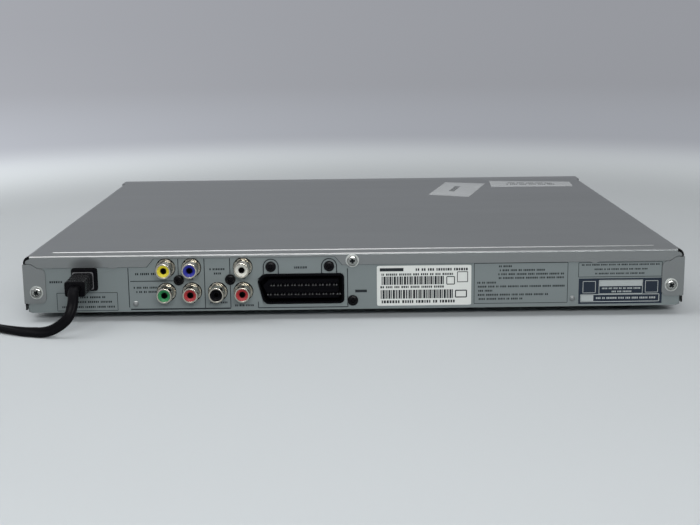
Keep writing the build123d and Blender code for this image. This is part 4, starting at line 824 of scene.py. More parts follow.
@dataclass
class SubAssembly:
    """Pieces on the case that share one set of materials."""

    finishes: Finishes

    def piece(self, name: str, shell: Shell, finish: str, slot: str = "") -> bpy.types.Object:
        """Puts a shell into an object at the origin that rides on the case.

        Args:
            name: The piece's name.
            shell: Its points in millimetres and its quads.
            finish: Its finish.
            slot: Not used.

        Returns:
            The object.
        """
        points, quads = shell
        mesh = bpy.data.meshes.new(name)
        mesh.from_pydata((points * MM).tolist(), [], quads.tolist())
        work = bmesh.new()
        work.from_mesh(mesh)
        bmesh.ops.remove_doubles(work, verts=work.verts, dist=1e-7)
        bmesh.ops.recalc_face_normals(work, faces=work.faces)
        work.to_mesh(mesh)
        work.free()
        mesh.shade_smooth()
        mesh.set_sharp_from_angle(angle=math.radians(SHARP_DEGREES))
        mesh.materials.append(self.finishes.materials[finish])
        made = bpy.data.objects.new(name, mesh)
        bpy.context.scene.collection.objects.link(made)
        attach(made, CASE)
        LOG.info("%s: %d faces on %s", name, len(mesh.polygons), CASE)
        return made


# Sockets
@dataclass
class Jacks(SubAssembly):
    """Seven phono jacks: a plated barrel with a raised collar and a coloured insert in its mouth."""

    reach: float = 9.8
    barrel: float = 4.15
    bore: float = 3.65
    collar: float = 5.1
    collar_height: float = 0.7
    nick: float = 0.55
    roll: float = 0.36
    rim: float = 0.55
    dish: float = 0.9
    tube: float = 0.3
    hole: float = 1.7
    hole_depth: float = 8.0
    recess: float = 0.35
    columns: tuple[float, ...] = (102.4, 88.4, 74.4, 60.4)
    high: float = 29.8
    low: float = 16.3

    def places(self) -> dict[str, list[Pair]]:
        """Where each colour sits, as x and z.

        Returns:
            The jacks' axes by the colour of their inserts.
        """
        a, b, c, d = self.columns
        return {
            "yellow": [(a, self.high)],
            "blue": [(b, self.high)],
            "white": [(d, self.high)],
            "green": [(a, self.low)],
            "red": [(b, self.low), (d, self.low)],
            "black": [(c, self.low)],
        }

    def barrel_shell(self, spot: Pair) -> Shell:
        """One barrel: a turned wall whose collar is nicked at four places round it, r = c - n sin^60(2a).

        Args:
            spot: Its axis, as x and z.

        Returns:
            The closed barrel.
        """
        reach, lip, mouth = self.reach, self.collar_height, self.bore - self.roll
        profile = [
            (self.bore, -1.0), (self.collar, -1.0), (self.collar, lip - 0.25), (self.collar - 0.2, lip),
            (self.collar - 0.45, lip), (self.barrel + 0.25, lip - 0.6), (self.barrel, lip - 0.6),
            (self.barrel, reach - 0.3), (self.barrel - 0.1, reach - 0.08), (self.barrel - 0.22, reach),
            (mouth + 0.12, reach), (mouth, reach - 0.14), (mouth, reach - 0.31),
            (self.bore, reach - 0.33), (self.bore, reach - 3.0),
        ]
        rings = turned(profile, 96)
        nicks = self.nick * np.sin(2 * np.linspace(0.0, 2 * np.pi, 96, endpoint=False)) ** 60
        rings[1:5, :, :2] *= (1 - nicks / self.collar)[None, :, None]
        return grid_shell(facing_back(rings, spot, PANEL_Y), True, True)

    def insert_shell(self, spot: Pair) -> Shell:
        """One insert: a turned ring with a narrow rim, a dished face and a hole down its middle.

        Args:
            spot: Its axis, as x and z.

        Returns:
            The closed insert.
        """
        front, outer = self.reach - self.recess, self.bore - 0.02
        floor = front - self.hole_depth
        profile = [
            (outer, -1.0), (outer, front - 0.25), (outer - 0.15, front), (outer - self.rim, front),
            (self.hole + 0.12, front - self.dish), (self.hole, front - self.dish - 0.2),
            (self.hole, floor), (0.0, floor), (0.0, floor - 0.2), (0.0, -1.0),
        ]
        return turned_back(profile, 56, spot, PANEL_Y)

    def tube_shell(self, spot: Pair) -> Shell:
        """The contact tube inside an insert, a turned wall with a closed bottom, made dark as painted shade
        down the hole.

        Args:
            spot: Its axis, as x and z.

        Returns:
            The closed tube.
        """
        front, outer = self.reach - self.recess - self.dish, self.hole - 0.03
        low, floor = front - self.hole_depth + 1.2, front - self.hole_depth + 1.6
        profile = [
            (outer, low), (outer, front - 0.2), (outer - self.tube, front - 0.2),
            (outer - self.tube, floor), (0.0, floor), (0.0, low),
        ]
        return turned_back(profile, 40, spot, PANEL_Y)

    def build(self) -> None:
        """Makes the barrels in one piece, the tubes in another and the inserts one piece to a colour."""
        spots = [spot for group in self.places().values() for spot in group]
        # The tubes are dark as painted shade down the jacks' holes.
        self.piece("jack_contact_tubes", joined([self.tube_shell(spot) for spot in spots]), "insert_black")
        shell = joined([self.barrel_shell(spot) for spot in spots])
        barrels = self.piece("jack_barrels", shell, "jack_nickel")
        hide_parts("rca_barrels")
        for colour, group in self.places().items():
            shell = joined([self.insert_shell(spot) for spot in group])
            insert = self.piece(f"jack_insert_{colour}", shell, f"insert_{colour}")
            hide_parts(f"rca_insert_{colour}")


@dataclass
class FlatSocket(SubAssembly):
    """The wide television socket: a shell with soft corners, screw ears in arches and twin contact leaves."""

    x: Pair = (5.5, 52.7)
    y: Pair = (135.7, 150.7)
    z: Pair = (9.1, 25.7)
    slant: float = 3.4
    rounding: tuple[float, ...] = (2.4, 4.0, 3.2, 3.2, 2.4)
    wall: float = 1.1
    chamfer: float = 0.3
    sheet: float = 0.8
    ears: tuple[Pair, ...] = ((13.5, 29.9), (45.2, 29.9))
    ear_radius: float = 3.6
    ear_depth: float = 2.0
    arch_radius: float = 4.05
    arch_line: float = 0.56
    pitch: float = 3.81
    middle: float = 27.4
    rows: tuple[tuple[int, float], ...] = ((10, 18.86), (11, 13.78))
    leaf_y: Pair = (142.8, 148.7)
    leaf: Pair = (0.6, 0.45)
    leaf_gap: float = 0.75

    def corners(self, inset: float) -> Corners:
        """The five sharp corners of the shell's outline drawn in by an inset.

        Args:
            inset: How far each side is drawn in.

        Returns:
            The corners in order, as x and z.
        """
        right, tip, low, high = self.x[0] + inset, self.x[1] - inset, self.z[0] + inset, self.z[1] - inset
        side = tip - self.slant
        return (right, low), (side, low), (tip, high - self.slant), (side, high), (right, high)

    def outline(self, inset: float) -> np.ndarray:
        """The shell's outline drawn in by an inset, its corners soft."""
        radius = np.clip(np.array(self.rounding) - inset, 0.4, None)
        return corner_arcs(self.corners(inset), radius).reshape(-1, 2)

    def fillers(self) -> Shell:
        """The panel's own metal between its sharp opening and the shell's softer corners.

        Returns:
            The closed fillers.
        """
        spots = self.corners(0.0)
        arcs = corner_arcs(spots, np.array(self.rounding))
        outlines = [np.concatenate([[spots[i]], arcs[i]]) for i in (1, 2, 3)]
        depths = (PANEL_Y - self.sheet, PANEL_Y)
        return joined([capped(np.array([upright(outline, y) for y in depths])) for outline in outlines])

    def ear(self, spot: Pair) -> Shell:
        """One screw ear behind the panel: half a disc over two legs that reach the shell.

        Args:
            spot: Its screw's axis, as x and z.

        Returns:
            The closed ear.
        """
        foot, back = self.z[1] - 0.6, PANEL_Y - self.sheet
        feet = [(spot[0] - self.ear_radius, foot), (spot[0] + self.ear_radius, foot)]
        outline = np.concatenate([half_circle(spot, self.ear_radius), feet])
        return capped(np.array([upright(outline, y) for y in (back - self.ear_depth, back)]))

    def arch_shade(self, spot: Pair) -> Shell:
        """A thin painted shadow line round an ear: a band of square section along an arch with two legs.

        Args:
            spot: The ear's screw axis, as x and z.

        Returns:
            The closed band.
        """
        sides = []
        for radius in (self.arch_radius - self.arch_line / 2, self.arch_radius + self.arch_line / 2):
            legs = ([(spot[0] + radius, self.z[1])], [(spot[0] - radius, self.z[1])])
            sides.append(np.concatenate([legs[0], half_circle(spot, radius), legs[1]]))
        low, high = PANEL_Y - INK_SUNK, PANEL_Y + INK_PROUD
        rings = [upright(sides[i], y) for i, y in ((0, low), (1, low), (1, high), (0, high))]
        return capped(np.stack(rings, axis=1))

    def leaves(self) -> Shell:
        """Two leaves at each contact's place, in two rows.

        Returns:
            The blocks.
        """
        width, height = self.leaf
        back, front = self.leaf_y
        rows = []
        for count, z in self.rows:
            for i in range(count):
                for side in (-self.leaf_gap, self.leaf_gap):
                    x = self.middle + (i - (count - 1) / 2) * self.pitch + side
                    rows.append([x - width / 2, back, z, x + width / 2, front, z + height])
        return boxes(np.array(rows))

    def build(self) -> None:
        """Makes the shell with its ears, the corner fillers, the painted shadow arches and the leaves."""
        back, front = self.y
        edge = front - self.chamfer
        levels = ((0.0, back), (0.0, edge), (self.chamfer, front), (self.wall, front), (self.wall, back))
        shell = grid_shell(np.array([upright(self.outline(inset), y) for inset, y in levels]), True, True)
        ears = [self.ear(spot) for spot in self.ears]
        made = self.piece("flat_socket_shell", joined([shell, *ears]), "housing_black")
        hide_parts("scart_shell")
        self.piece("flat_socket_corners", self.fillers(), "panel_paint")
        # Painted shadow round the screw ears.
        arch_shades = joined([self.arch_shade(spot) for spot in self.ears])
        self.piece("flat_socket_arches", arch_shades, "ink", "panel_paint")
        made = self.piece("flat_socket_leaves", self.leaves(), "contact_metal")
        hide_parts("scart_contacts")


# Screws
@dataclass
class Screws(SubAssembly):
    """Pan-head screws with a cross recess, seen from behind."""

    arm: float = 0.17
    arm_reach: float = 0.46
    recess: float = 0.72
    silver: tuple[Pair, ...] = ((173.0, 17.2), (0.8, 32.9), (-173.0, 17.2))
    silver_size: Pair = (2.8, 1.6)
    washer_radius: float = 3.6
    washer_floor: float = 0.15
    black: tuple[Pair, ...] = ((95.4, 23.05), (67.4, 23.05), (13.5, 29.9), (45.2, 29.9), (0.7, 10.6))
    black_size: Pair = (2.85, 1.8)

    def head(self, spot: Pair, seat: float, size: Pair, turn: float) -> Shell:
        """One head: a dome h(r) less a cross, where the lesser of |u| and |v| is under the arm's half width.

        Args:
            spot: Its axis, as x and z.
            seat: The face that it sits on.
            size: Its radius and height.
            turn: The cross's turn in radians.

        Returns:
            The closed head.
        """
        radius, height = size
        share = np.linspace(0.0, 1.0, 30)[:, None]
        angle = np.linspace(0.0, 2 * np.pi, 96, endpoint=False)[None, :]
        reach = radius * share
        dome = height * (0.55 + 0.45 * np.sqrt(np.clip(1.0 - share**2.6, 0.0, 1.0)))
        u, v = np.abs(reach * np.cos(angle + turn)), np.abs(reach * np.sin(angle + turn))
        arm = radius * self.arm
        inside = np.clip((arm - np.minimum(u, v)) / (0.35 * arm) + 0.5, 0.0, 1.0)
        within = np.clip((radius * self.arm_reach - np.maximum(u, v)) / (0.12 * radius) + 0.5, 0.0, 1.0)
        deep = height * self.recess * inside * within
        top = np.stack([reach * np.cos(angle), reach * np.sin(angle), dome - deep], axis=-1)
        skirt = top[-1:] * (1.0, 1.0, 0.0)
        rings = np.concatenate([top, skirt, np.zeros_like(skirt)])
        return grid_shell(facing_back(rings, spot, seat), False, True)

    def washer(self, spot: Pair) -> Shell:
        """A dished washer: a thin bright rim round a sunk floor, turned from its profile.

        Args:
            spot: Its screw's axis, as x and z.

        Returns:
            The closed washer.
        """
        outer = self.washer_radius
        profile = [
            (1.0, 0.0), (outer, 0.0), (outer, 0.4), (outer - 0.12, 0.55), (outer - 0.36, 0.55),
            (outer - 0.62, 0.16), (1.0, 0.16),
        ]
        return turned_back(profile, 72, spot, COVER_Y)

    def recess_shade(self, spot: Pair, seat: float, turn: float) -> Shell:
        """Painted shade at the floor of a cross recess: two thin dark bars, p along u and q along v, turned
        with the cross.

        Args:
            spot: The screw's axis, as x and z.
            seat: The face that the head sits on.
            turn: The cross's turn in radians.

        Returns:
            The closed bars.
        """
        radius, height = self.silver_size
        long, wide, floor = radius * self.arm_reach, radius * self.arm, height * (1 - self.recess)
        rows = [[-a, -b, floor - 0.1, a, b, floor + 0.1] for a, b in ((long, wide), (wide, long))]
        points, quads = boxes(np.array(rows))
        p, q, h = points.T
        cosine, sine = math.cos(turn), math.sin(turn)
        points = np.stack([p * cosine + q * sine, q * cosine - p * sine, h], axis=-1)
        return facing_back(points, spot, seat), quads

    def build(self) -> None:
        """Makes the silver and the black screws."""
        seat = COVER_Y + self.washer_floor
        turns = [(spot, 0.5 + i) for i, spot in enumerate(self.silver)]
        silver = joined([self.head(spot, seat, self.silver_size, turn) for spot, turn in turns])
        washers = joined([self.washer(spot) for spot in self.silver])
        self.piece("cover_screw_washers", washers, "washer_zinc", "screw_silver")
        made = self.piece("cover_screw_heads", silver, "screw_silver")
        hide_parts("cover_screws")
        # Painted shade in the silver screws' recesses.
        recess_shade_bars = joined([self.recess_shade(spot, seat, turn) for spot, turn in turns])
        self.piece("cover_screw_recesses", recess_shade_bars, "ink", "screw_silver")
        size = self.black_size
        black = [self.head(spot, PANEL_Y, size, 0.3 + 0.7 * i) for i, spot in enumerate(self.black)]
        made = self.piece("socket_screw_heads", joined(black), "screw_black")
        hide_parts("socket_screws")


# Printing
class Print:
    """Collects flat print as thin blocks on one upright face."""

    def __init__(self, face_y: float, thickness: float = INK_PROUD) -> None:
        """Starts an empty print on a face, whose ink stands proud by its thickness."""
        self.low, self.high = face_y - INK_SUNK, face_y + thickness
        self.rows: list[list[float]] = []

    def bar(self, x: Pair, z: Pair) -> None:
        """Adds a plain bar over two ranges."""
        self.rows.append([min(x), self.low, min(z), max(x), self.high, max(z)])

    def across(self, x: Pair, z: float, width: float = 0.45) -> None:
        """Adds a level rule."""
        self.bar(x, (z - width / 2, z + width / 2))

    def upright(self, x: float, z: Pair, width: float = 0.45) -> None:
        """Adds an upright rule."""
        self.bar((x - width / 2, x + width / 2), z)

    def box(self, x: Pair, z: Pair, width: float) -> None:
        """Adds a frame of four rules.

        Args:
            x: Its two ends across.
            z: Its two ends up and down.
            width: The rules' width.
        """
        for level in z:
            self.across(x, level, width)
        for side in x:
            self.upright(side, z, width)

    def dashes(self, x: Pair, z: float, height: float, seed: int) -> None:
        """Adds a row of groups of short upright ticks, as small print looks from a step away.

        Args:
            x: The row's two ends.
            z: Its middle.
            height: The row's height, of which the ticks take four fifths.
            seed: What the groups' lengths and the ticks' widths are drawn from.
        """
        draw = np.random.default_rng(seed)
        place, stop = min(x), max(x)
        while place < stop - 0.4:
            for _ in range(int(draw.integers(2, 8))):
                width = height * float(draw.uniform(0.34, 0.62))
                if place + width > stop:
                    break
                self.bar((place, place + width), (z - height * 0.4, z + height * 0.4))
                place += width + height * 0.22
            place += height * 0.5

    def stripes(self, x: Pair, z: Pair) -> None:
        """Adds upright stripes whose widths follow a fixed round of five.

        Args:
            x: The two ends across.
            z: The stripes' two ends.
        """
        widths, gaps = (0.5, 0.95, 0.4, 0.7, 1.2), (0.3, 0.4, 0.28, 0.5, 0.34)
        place, i = min(x), 0
        while place + widths[i % 5] <= max(x):
            self.bar((place, place + widths[i % 5]), z)
            place += widths[i % 5] + gaps[(i * 2) % 5]
            i += 1

    def shell(self) -> Shell:
        """The collected print as blocks."""
        return boxes(np.array(self.rows))


@dataclass
class PanelPrint(SubAssembly):
    """Rules, frames and rows of small print on the socket panel, all plain."""

    label_x: Pair = (-64.0, -12.5)
    label_z: Pair = (7.2, 29.5)
    label_lift: float = 0.12
    plate_x: Pair = (-168.4, -122.7)
    plate_z: Pair = (6.8, 21.0)
    dimples: tuple[Pair, ...] = ((119.4, 10.0), (-119.4, 10.0))
    dimple: Point = (1.65, 0.3, 0.85)
    lip_shadows: tuple[tuple[Pair, float], ...] = (
        ((-164.0, 6.2), 30.6), ((10.2, 108.8), 35.2), ((112.8, 164.0), 30.6),
    )
    lip_shadow_slopes: tuple[Pair, ...] = ((112.8, -1.0), (6.2, 1.0))
    slope_low: float = 30.5
    slope_size: Pair = (4.0, 4.6)
    frames: tuple[tuple[Pair, Pair], ...] = (
        ((129.3, 162.3), (6.5, 16.5)), ((-116.6, -65.6), (7.8, 30.2)), ((-168.0, -122.5), (21.9, 29.9)),
    )
    bold: float = 1.35
    words: tuple[tuple[Pair, float, float], ...] = (
        ((159.0, 166.5), 22.7, 1.1), ((106.5, 119.5), 26.6, 1.1), ((105.5, 121.0), 19.0, 1.0),
        ((107.0, 119.5), 16.6, 1.0), ((101.2, 103.4), 10.6, 0.9), ((87.0, 89.6), 10.6, 0.9),
        ((87.6, 89.8), 23.6, 0.9), ((70.4, 78.8), 28.8, 1.0), ((72.4, 76.6), 26.4, 1.0),
        ((69.4, 79.0), 10.2, 1.0), ((59.4, 61.4), 10.6, 0.9), ((59.2, 61.4), 23.8, 0.9),
        ((55.0, 65.8), 8.4, 1.0), ((25.6, 33.0), 29.2, 1.1), ((136.0, 150.5), 14.0, 1.0),
        ((132.5, 156.0), 11.4, 1.0), ((131.0, 161.0), 8.6, 1.0),
    )
    frame_lines: tuple[tuple[Pair, float], ...] = (
        ((-78.6, -86.0), 28.4), ((-78.6, -104.0), 26.2), ((-78.6, -114.5), 24.0), ((-78.6, -114.5), 21.9),
        ((-67.2, -77.5), 19.4), ((-67.2, -115.0), 17.2), ((-67.2, -75.5), 14.9), ((-67.2, -106.0), 12.6),
        ((-67.2, -92.0), 10.3),
    )
    end_lines: tuple[tuple[Pair, float], ...] = (
        ((-166.5, -123.6), 28.6), ((-160.0, -130.8), 26.1), ((-158.4, -131.4), 23.7),
    )

    def rules(self) -> None:
        """The fine rules that part the groups of sockets, the frames, and painted shadow lines under the
        cover's lip.
        """
        ink = Print(PANEL_Y)
        ink.upright(122.9, (8.0, 30.0))
        ink.across((67.6, 122.2), 6.9, 0.8)
        ink.across((52.4, 3.6), 6.9, 0.5)
        ink.upright(52.4, (6.9, 10.4))
        ink.upright(3.5, (6.9, 28.4))
        ink.across((98.5, 121.9), 22.6)
        for x, low in ((95.6, 26.0), (81.4, 6.9), (67.5, 7.2)):
            ink.upright(x, (low, 34.8))
        for x, z in self.frames:
            ink.box(x, z, 0.3)
        ink.bar((-7.0, -0.6), (14.9, 16.4))
        # Painted shadow along the lower edge of the cover's lip, level and along its two slopes.
        for ends, z in self.lip_shadows:
            ink.across(ends, z - 0.12, 0.24)
        run, rise = self.slope_size
        for corner, inward in self.lip_shadow_slopes:
            for share in np.linspace(0.0, 1.0, 15):
                x, z = corner + inward * (run * share + 0.15), self.slope_low + rise * share
                ink.bar((x - 0.16, x + 0.16), (z - 0.25, z + 0.1))
        self.piece("panel_rules", ink.shell(), "ink", "panel_paint")

    def small_print(self) -> None:
        """Rows of dashes where the real panel has wording."""
        ink = Print(PANEL_Y)
        for i, (x, z, height) in enumerate(self.words):
            ink.dashes(x, z, height * self.bold, i)
        for i, (x, z) in enumerate(self.frame_lines):
            ink.dashes(x, z, 1.3, 40 + i)
        for i, (x, z) in enumerate(self.end_lines):
            ink.dashes(x, z, 1.1, 60 + i)
        self.piece("panel_small_print", ink.shell(), "ink", "panel_paint")

    def label(self) -> None:
        """The white label with plain stripes, boxes and rows of dashes."""
        low, high = self.label_x
        bottom, top = self.label_z
        rim = rounded_ring(high - low, top - bottom, 44.0, 128)
        levels = ((1.0, 0.0), (1.0, self.label_lift * 0.7), (0.997, self.label_lift))
        middle = ((low + high) / 2, (bottom + top) / 2)
        shell = capped(facing_back(drawn_in(rim, levels), middle, PANEL_Y))
        self.piece("rating_label", shell, "label_paper", "panel_paint")
        ink = Print(PANEL_Y + self.label_lift)
        edge = high - 1.6
        ink.bar((low + 37.0, edge), (top - 3.1, top - 1.3))
        ink.dashes((low + 2.0, high - 20.0), top - 2.3, 1.8, 82)
        ink.dashes((low + 10.0, edge), top - 4.9, 1.5, 83)
        ink.stripes((low + 15.0, edge), (top - 10.6, top - 6.0))
        ink.dashes((low + 15.0, edge), top - 11.9, 1.5, 84)
        ink.stripes((low + 10.0, edge), (bottom + 3.9, bottom + 8.8))
        ink.dashes((low + 9.0, high - 1.4), bottom + 2.2, 2.0, 85)
        ink.box((low + 9.2, low + 13.4), (top - 10.6, top - 6.4), 0.5)
        ink.box((low + 2.0, low + 7.6), (top - 9.4, top - 3.8), 0.4)
        ink.box((low + 2.6, low + 8.6), (bottom + 4.4, bottom + 8.2), 0.6)
        self.piece("rating_label_print", ink.shell(), "ink", "panel_paint")

    def plate(self) -> None:
        """The dark printed block with plain pale boxes."""
        low, high = self.plate_x
        bottom, top = self.plate_z
        dark = Print(PANEL_Y, 0.035)
        dark.bar((low, high), (bottom, top))
        self.piece("dark_plate", dark.shell(), "plate_print", "panel_paint")
        pale = Print(PANEL_Y + INK_PROUD)
        left, right = low + 10.8, high - 11.2
        pale.box((left, right), (top - 8.6, top - 1.0), 0.3)
        pale.bar((left, right), (top - 4.4, top - 1.0))
        pale.box((low + 1.6, high - 1.2), (bottom + 1.2, bottom + 5.2), 0.4)
        pale.bar((high - 8.2, high - 1.2), (bottom + 1.2, bottom + 5.2))
        pale.box((low + 2.4, low + 9.2), (top - 8.0, top - 1.6), 0.3)
        pale.box((high - 9.2, high - 2.4), (top - 8.0, top - 1.6), 0.3)
        pale.dashes((left + 1.2, right - 1.2), top - 5.6, 1.1, 90)
        pale.dashes((left + 6.0, right - 6.0), top - 7.4, 1.1, 91)
        pale.dashes((low + 3.6, high - 9.0), bottom + 3.2, 1.3, 95)
        self.piece("dark_plate_boxes", pale.shell(), "pale_ink", "panel_paint")

    def domes(self) -> None:
        """Two small domes pressed into the panel, h = d sqrt(1 - (r / R)^2) over a sunk floor."""
        radius, deep, proud = self.dimple
        share = np.sin(np.linspace(0.0, np.pi / 2, 12))[::-1]
        height = (deep + proud) * np.sqrt(np.clip(1 - share * share, 0.0, None))
        profile = [(0.0, -0.05), *zip(radius * share, height)]
        domes = joined([turned_back(profile, 40, spot, PANEL_Y - deep) for spot in self.dimples])
        self.piece("panel_domes", domes, "cover_paint", "panel_paint")

    def build(self) -> None:
        """Makes all the panel's print and its domes."""
        self.rules()
        self.small_print()
        self.label()
        self.plate()
        self.domes()


@dataclass
class CoverStickers(SubAssembly):
    """Two paper stickers on the lid's far corner, with plain print."""

    square: Corners = ((-73.5, -130.1), (-102.9, -119.9), (-83.7, -52.4), (-55.6, -64.7))
    strip: Corners = ((-107.7, -134.6), (-168.5, -124.8), (-166.7, -100.1), (-105.6, -101.8))
    lift: float = 0.1
    strip_rows: tuple[Pair, ...] = ((0.30, 0.42), (0.52, 0.66))

    def sheet(self, corners: Corners, base: float, lift: float) -> Shell:
        """A thin sheet between four corners on the lid, its rim drawn in by a hundredth at the top.

        Args:
            corners: Its corners, as x and y.
            base: The height that it lies on.
            lift: Its thickness.

        Returns:
            The closed sheet.
        """
        flat = np.array(corners)[:, None, :]
        share = np.linspace(0.0, 1.0, 8, endpoint=False)[None, :, None]
        rim = (flat * (1 - share) + np.roll(flat, -1, axis=0) * share).reshape(-1, 2)
        return capped(drawn_in(rim, ((1.0, base - INK_SUNK), (1.0, base + lift * 0.6), (0.99, base + lift))))

    def mark(self, corners: Corners, u: Pair, v: Pair) -> Shell:
        """A printed patch of a sticker.

        Args:
            corners: The sticker's corners.
            u: The patch's two ends, as shares of the first side.
            v: Its two ends, as shares of the second side.

        Returns:
            The closed patch.
        """
        a, b, c, d = (np.array(corner) for corner in corners)
        shares = ((u[0], v[0]), (u[1], v[0]), (u[1], v[1]), (u[0], v[1]))
        patch = tuple(tuple((a * (1 - s) + b * s) * (1 - t) + (d * (1 - s) + c * s) * t) for s, t in shares)
        return self.sheet(patch, TOP_Z + self.lift, INK_PROUD)

    def build(self) -> None:
        """Makes both stickers and their print."""
        sheets = joined([self.sheet(corners, TOP_Z, self.lift) for corners in (self.square, self.strip)])
        self.piece("lid_stickers", sheets, "sticker_paper", "cover_paint")
        marks = [self.mark(self.square, (0.36, 0.5), (0.3 + 0.05 * i, 0.325 + 0.05 * i)) for i in range(8)]
        for row, ends in enumerate(self.strip_rows):
            starts = [0.2 + i * 0.023 for i in range(26) if (i * 7 + row * 3) % 5]
            marks += [self.mark(self.strip, (start, start + 0.014), ends) for start in starts]
        self.piece("lid_sticker_print", joined(marks), "ink", "cover_paint")


# Mains lead
@dataclass
class Lead(SubAssembly):
    """Flat twin cord from the sleeve down to the table, aside and into a tied coil, with its plug."""

    sleeve_tip: Point = (147.2, 171.0, 23.6)
    route: tuple[Point, ...] = (
        (0.0, 5.0, 23.6), (-1.0, 9.0, 19.8), (-0.1, 11.6, 14.1), (2.0, 12.5, 10.2), (6.1, 12.4, 6.7),
        (11.8, 11.3, 3.6), (18.3, 9.4, 2.4), (26.8, 6.4, 2.3), (34.8, 2.2, 2.3), (42.8, -3.0, 2.3),
        (52.3, -8.4, 2.3), (64.8, -13.0, 2.4), (80.8, -15.0, 2.4),
    )
    coil_centre: Pair = (257.2, 113.4)
    coil_start: float = 42.6
    coil_pitch: float = 6.25
    half_turns: int = 6
    layer_pitch: float = 4.1
    coil_low: float = 2.4
    points_per_turn: int = 16
    width: float = 5.6
    height: float = 3.4
    groove: float = 0.22
    tail: float = 26.0
    length: float = 1.45
    guide: tuple[tuple[float, Point], ...] = (
        (0.0, (0.0, 0.0, 1.0)), (12.0, (0.0, 1.0, 0.0)), (24.0, (0.0, 1.0, 0.1)), (66.0, (0.0, 0.0, 1.0)),
    )
    plug_length: float = 60.0
    plug_height: float = 13.6
    plug_form: tuple[Point, ...] = (
        (0.0, 7.0, 5.8), (12.0, 8.6, 6.6), (24.0, 13.0, 10.0), (30.0, 15.2, 12.2),
        (40.2, 17.0, 12.6), (52.08, 25.4, 13.6), (59.0, 26.0, 13.6), (60.0, 24.6, 12.2),
    )
    plug_rings: tuple[tuple[float, ...], ...] = ((3.0, 22.0, 0.35, 3.2), (33.0, 45.0, 0.3, 2.4))
    pin_pitch: float = 18.6
    pin_radius: float = 2.0
    pin_form: tuple[Pair, ...] = (
        (0.94, 0.0), (0.94, 10.0), (0.8, 10.0), (1.0, 10.2), (1.0, 17.8), (0.8, 18.6), (0.3, 19.0),
    )
    tie_half: float = 4.8
    tie_gap: float = 0.35
    tie_room: float = 1.6
    tie_thick: Pair = (0.9, 0.55)
    tie_edge: float = 0.3
    plate_form: tuple[tuple[float, ...], ...] = (
        (14.2, 12.6, -1.0, 146.6, 24.1), (14.2, 12.6, 1.15, 146.6, 24.1), (13.8, 12.2, 1.45, 146.6, 24.1),
        (13.4, 11.8, 1.5, 146.6, 24.1), (11.6, 9.8, 1.5, 147.2, 23.6), (11.6, 9.8, 2.1, 147.2, 23.6),
        (11.5, 9.7, 2.2, 147.2, 23.6),
    )
    sleeve_start: float = 2.25
    sleeve_size: Pair = (10.9, 9.1)
    sleeve_taper: float = 0.7
    sleeve_drift: Pair = (0.3, -0.4)
    sleeve_ribs: int = 5
    rib_depth: float = 0.55

    def coil_points(self) -> np.ndarray:
        """The coil's control points: in by half a pitch each half turn, up a layer, and out again.

        The radius is over the share of a ring of control points' radius that their spline keeps.

        Returns:
            The points, with shape (count, 3).
        """
        step = 2 * np.pi / self.points_per_turn
        kept = np.cos(step / 2) * 0.5 + (6 + 2 * np.cos(step)) / 16
        angle = np.arange(round((2 * self.half_turns + 0.5) * np.pi / step) + 1) * step
        halves = angle / np.pi
        inward = np.minimum(halves, self.half_turns)
        outward = np.clip(halves - self.half_turns - 1, 0.0, None)
        climb = np.clip(halves - self.half_turns, 0.0, 1.0)
        radius = (self.coil_start - (inward - outward) * self.coil_pitch / 2) / kept
        x0, y0 = self.coil_centre
        z = self.coil_low + climb * self.layer_pitch
        return np.column_stack([x0 + radius * np.sin(angle), y0 + radius * np.cos(angle), z])

    def points(self) -> np.ndarray:
        """The whole route's control points: the free cord, the coil and the tail to the plug's neck.

        Returns:
            The points, with shape (count, 3).
        """
        x0, y0, _ = self.sleeve_tip
        free = [self.sleeve_tip] + [(x0 + x, y0 + y, z) for x, y, z in self.route]
        coil = self.coil_points()
        x, y, z = coil[-1]
        neck_z = self.plug_height / 2
        drops = ((self.tail * 0.35, z), (self.tail * 0.7, neck_z), (self.tail + self.width, neck_z))
        return np.concatenate([free, coil, [(x, y - drop, height) for drop, height in drops]])

    def centreline(self) -> np.ndarray:
        """Points in millimetres along the spline that takes the route as its control points.

        Returns:
            The points, with shape (count, 3).
        """
        curve = bpy.data.curves.new("lead_route", "CURVE")
        curve.dimensions = "3D"
        spline = curve.splines.new("NURBS")
        route = self.points() * MM
        spline.points.add(len(route) - 1)
        spline.points.foreach_set("co", np.column_stack([route, np.ones(len(route))]).ravel())
        spline.order_u = 3
        spline.use_endpoint_u = True
        spline.resolution_u = 6
        holder = bpy.data.objects.new("lead_route", curve)
        mesh = bpy.data.meshes.new_from_object(holder)
        flat = np.zeros(len(mesh.vertices) * 3)
        mesh.vertices.foreach_get("co", flat)
        bpy.data.objects.remove(holder)
        bpy.data.curves.remove(curve)
        bpy.data.meshes.remove(mesh)
        line = flat.reshape(-1, 3) / MM
        step = np.linalg.norm(np.diff(line, axis=0), axis=1)
        return line[np.concatenate([[True], step > 0.01])]

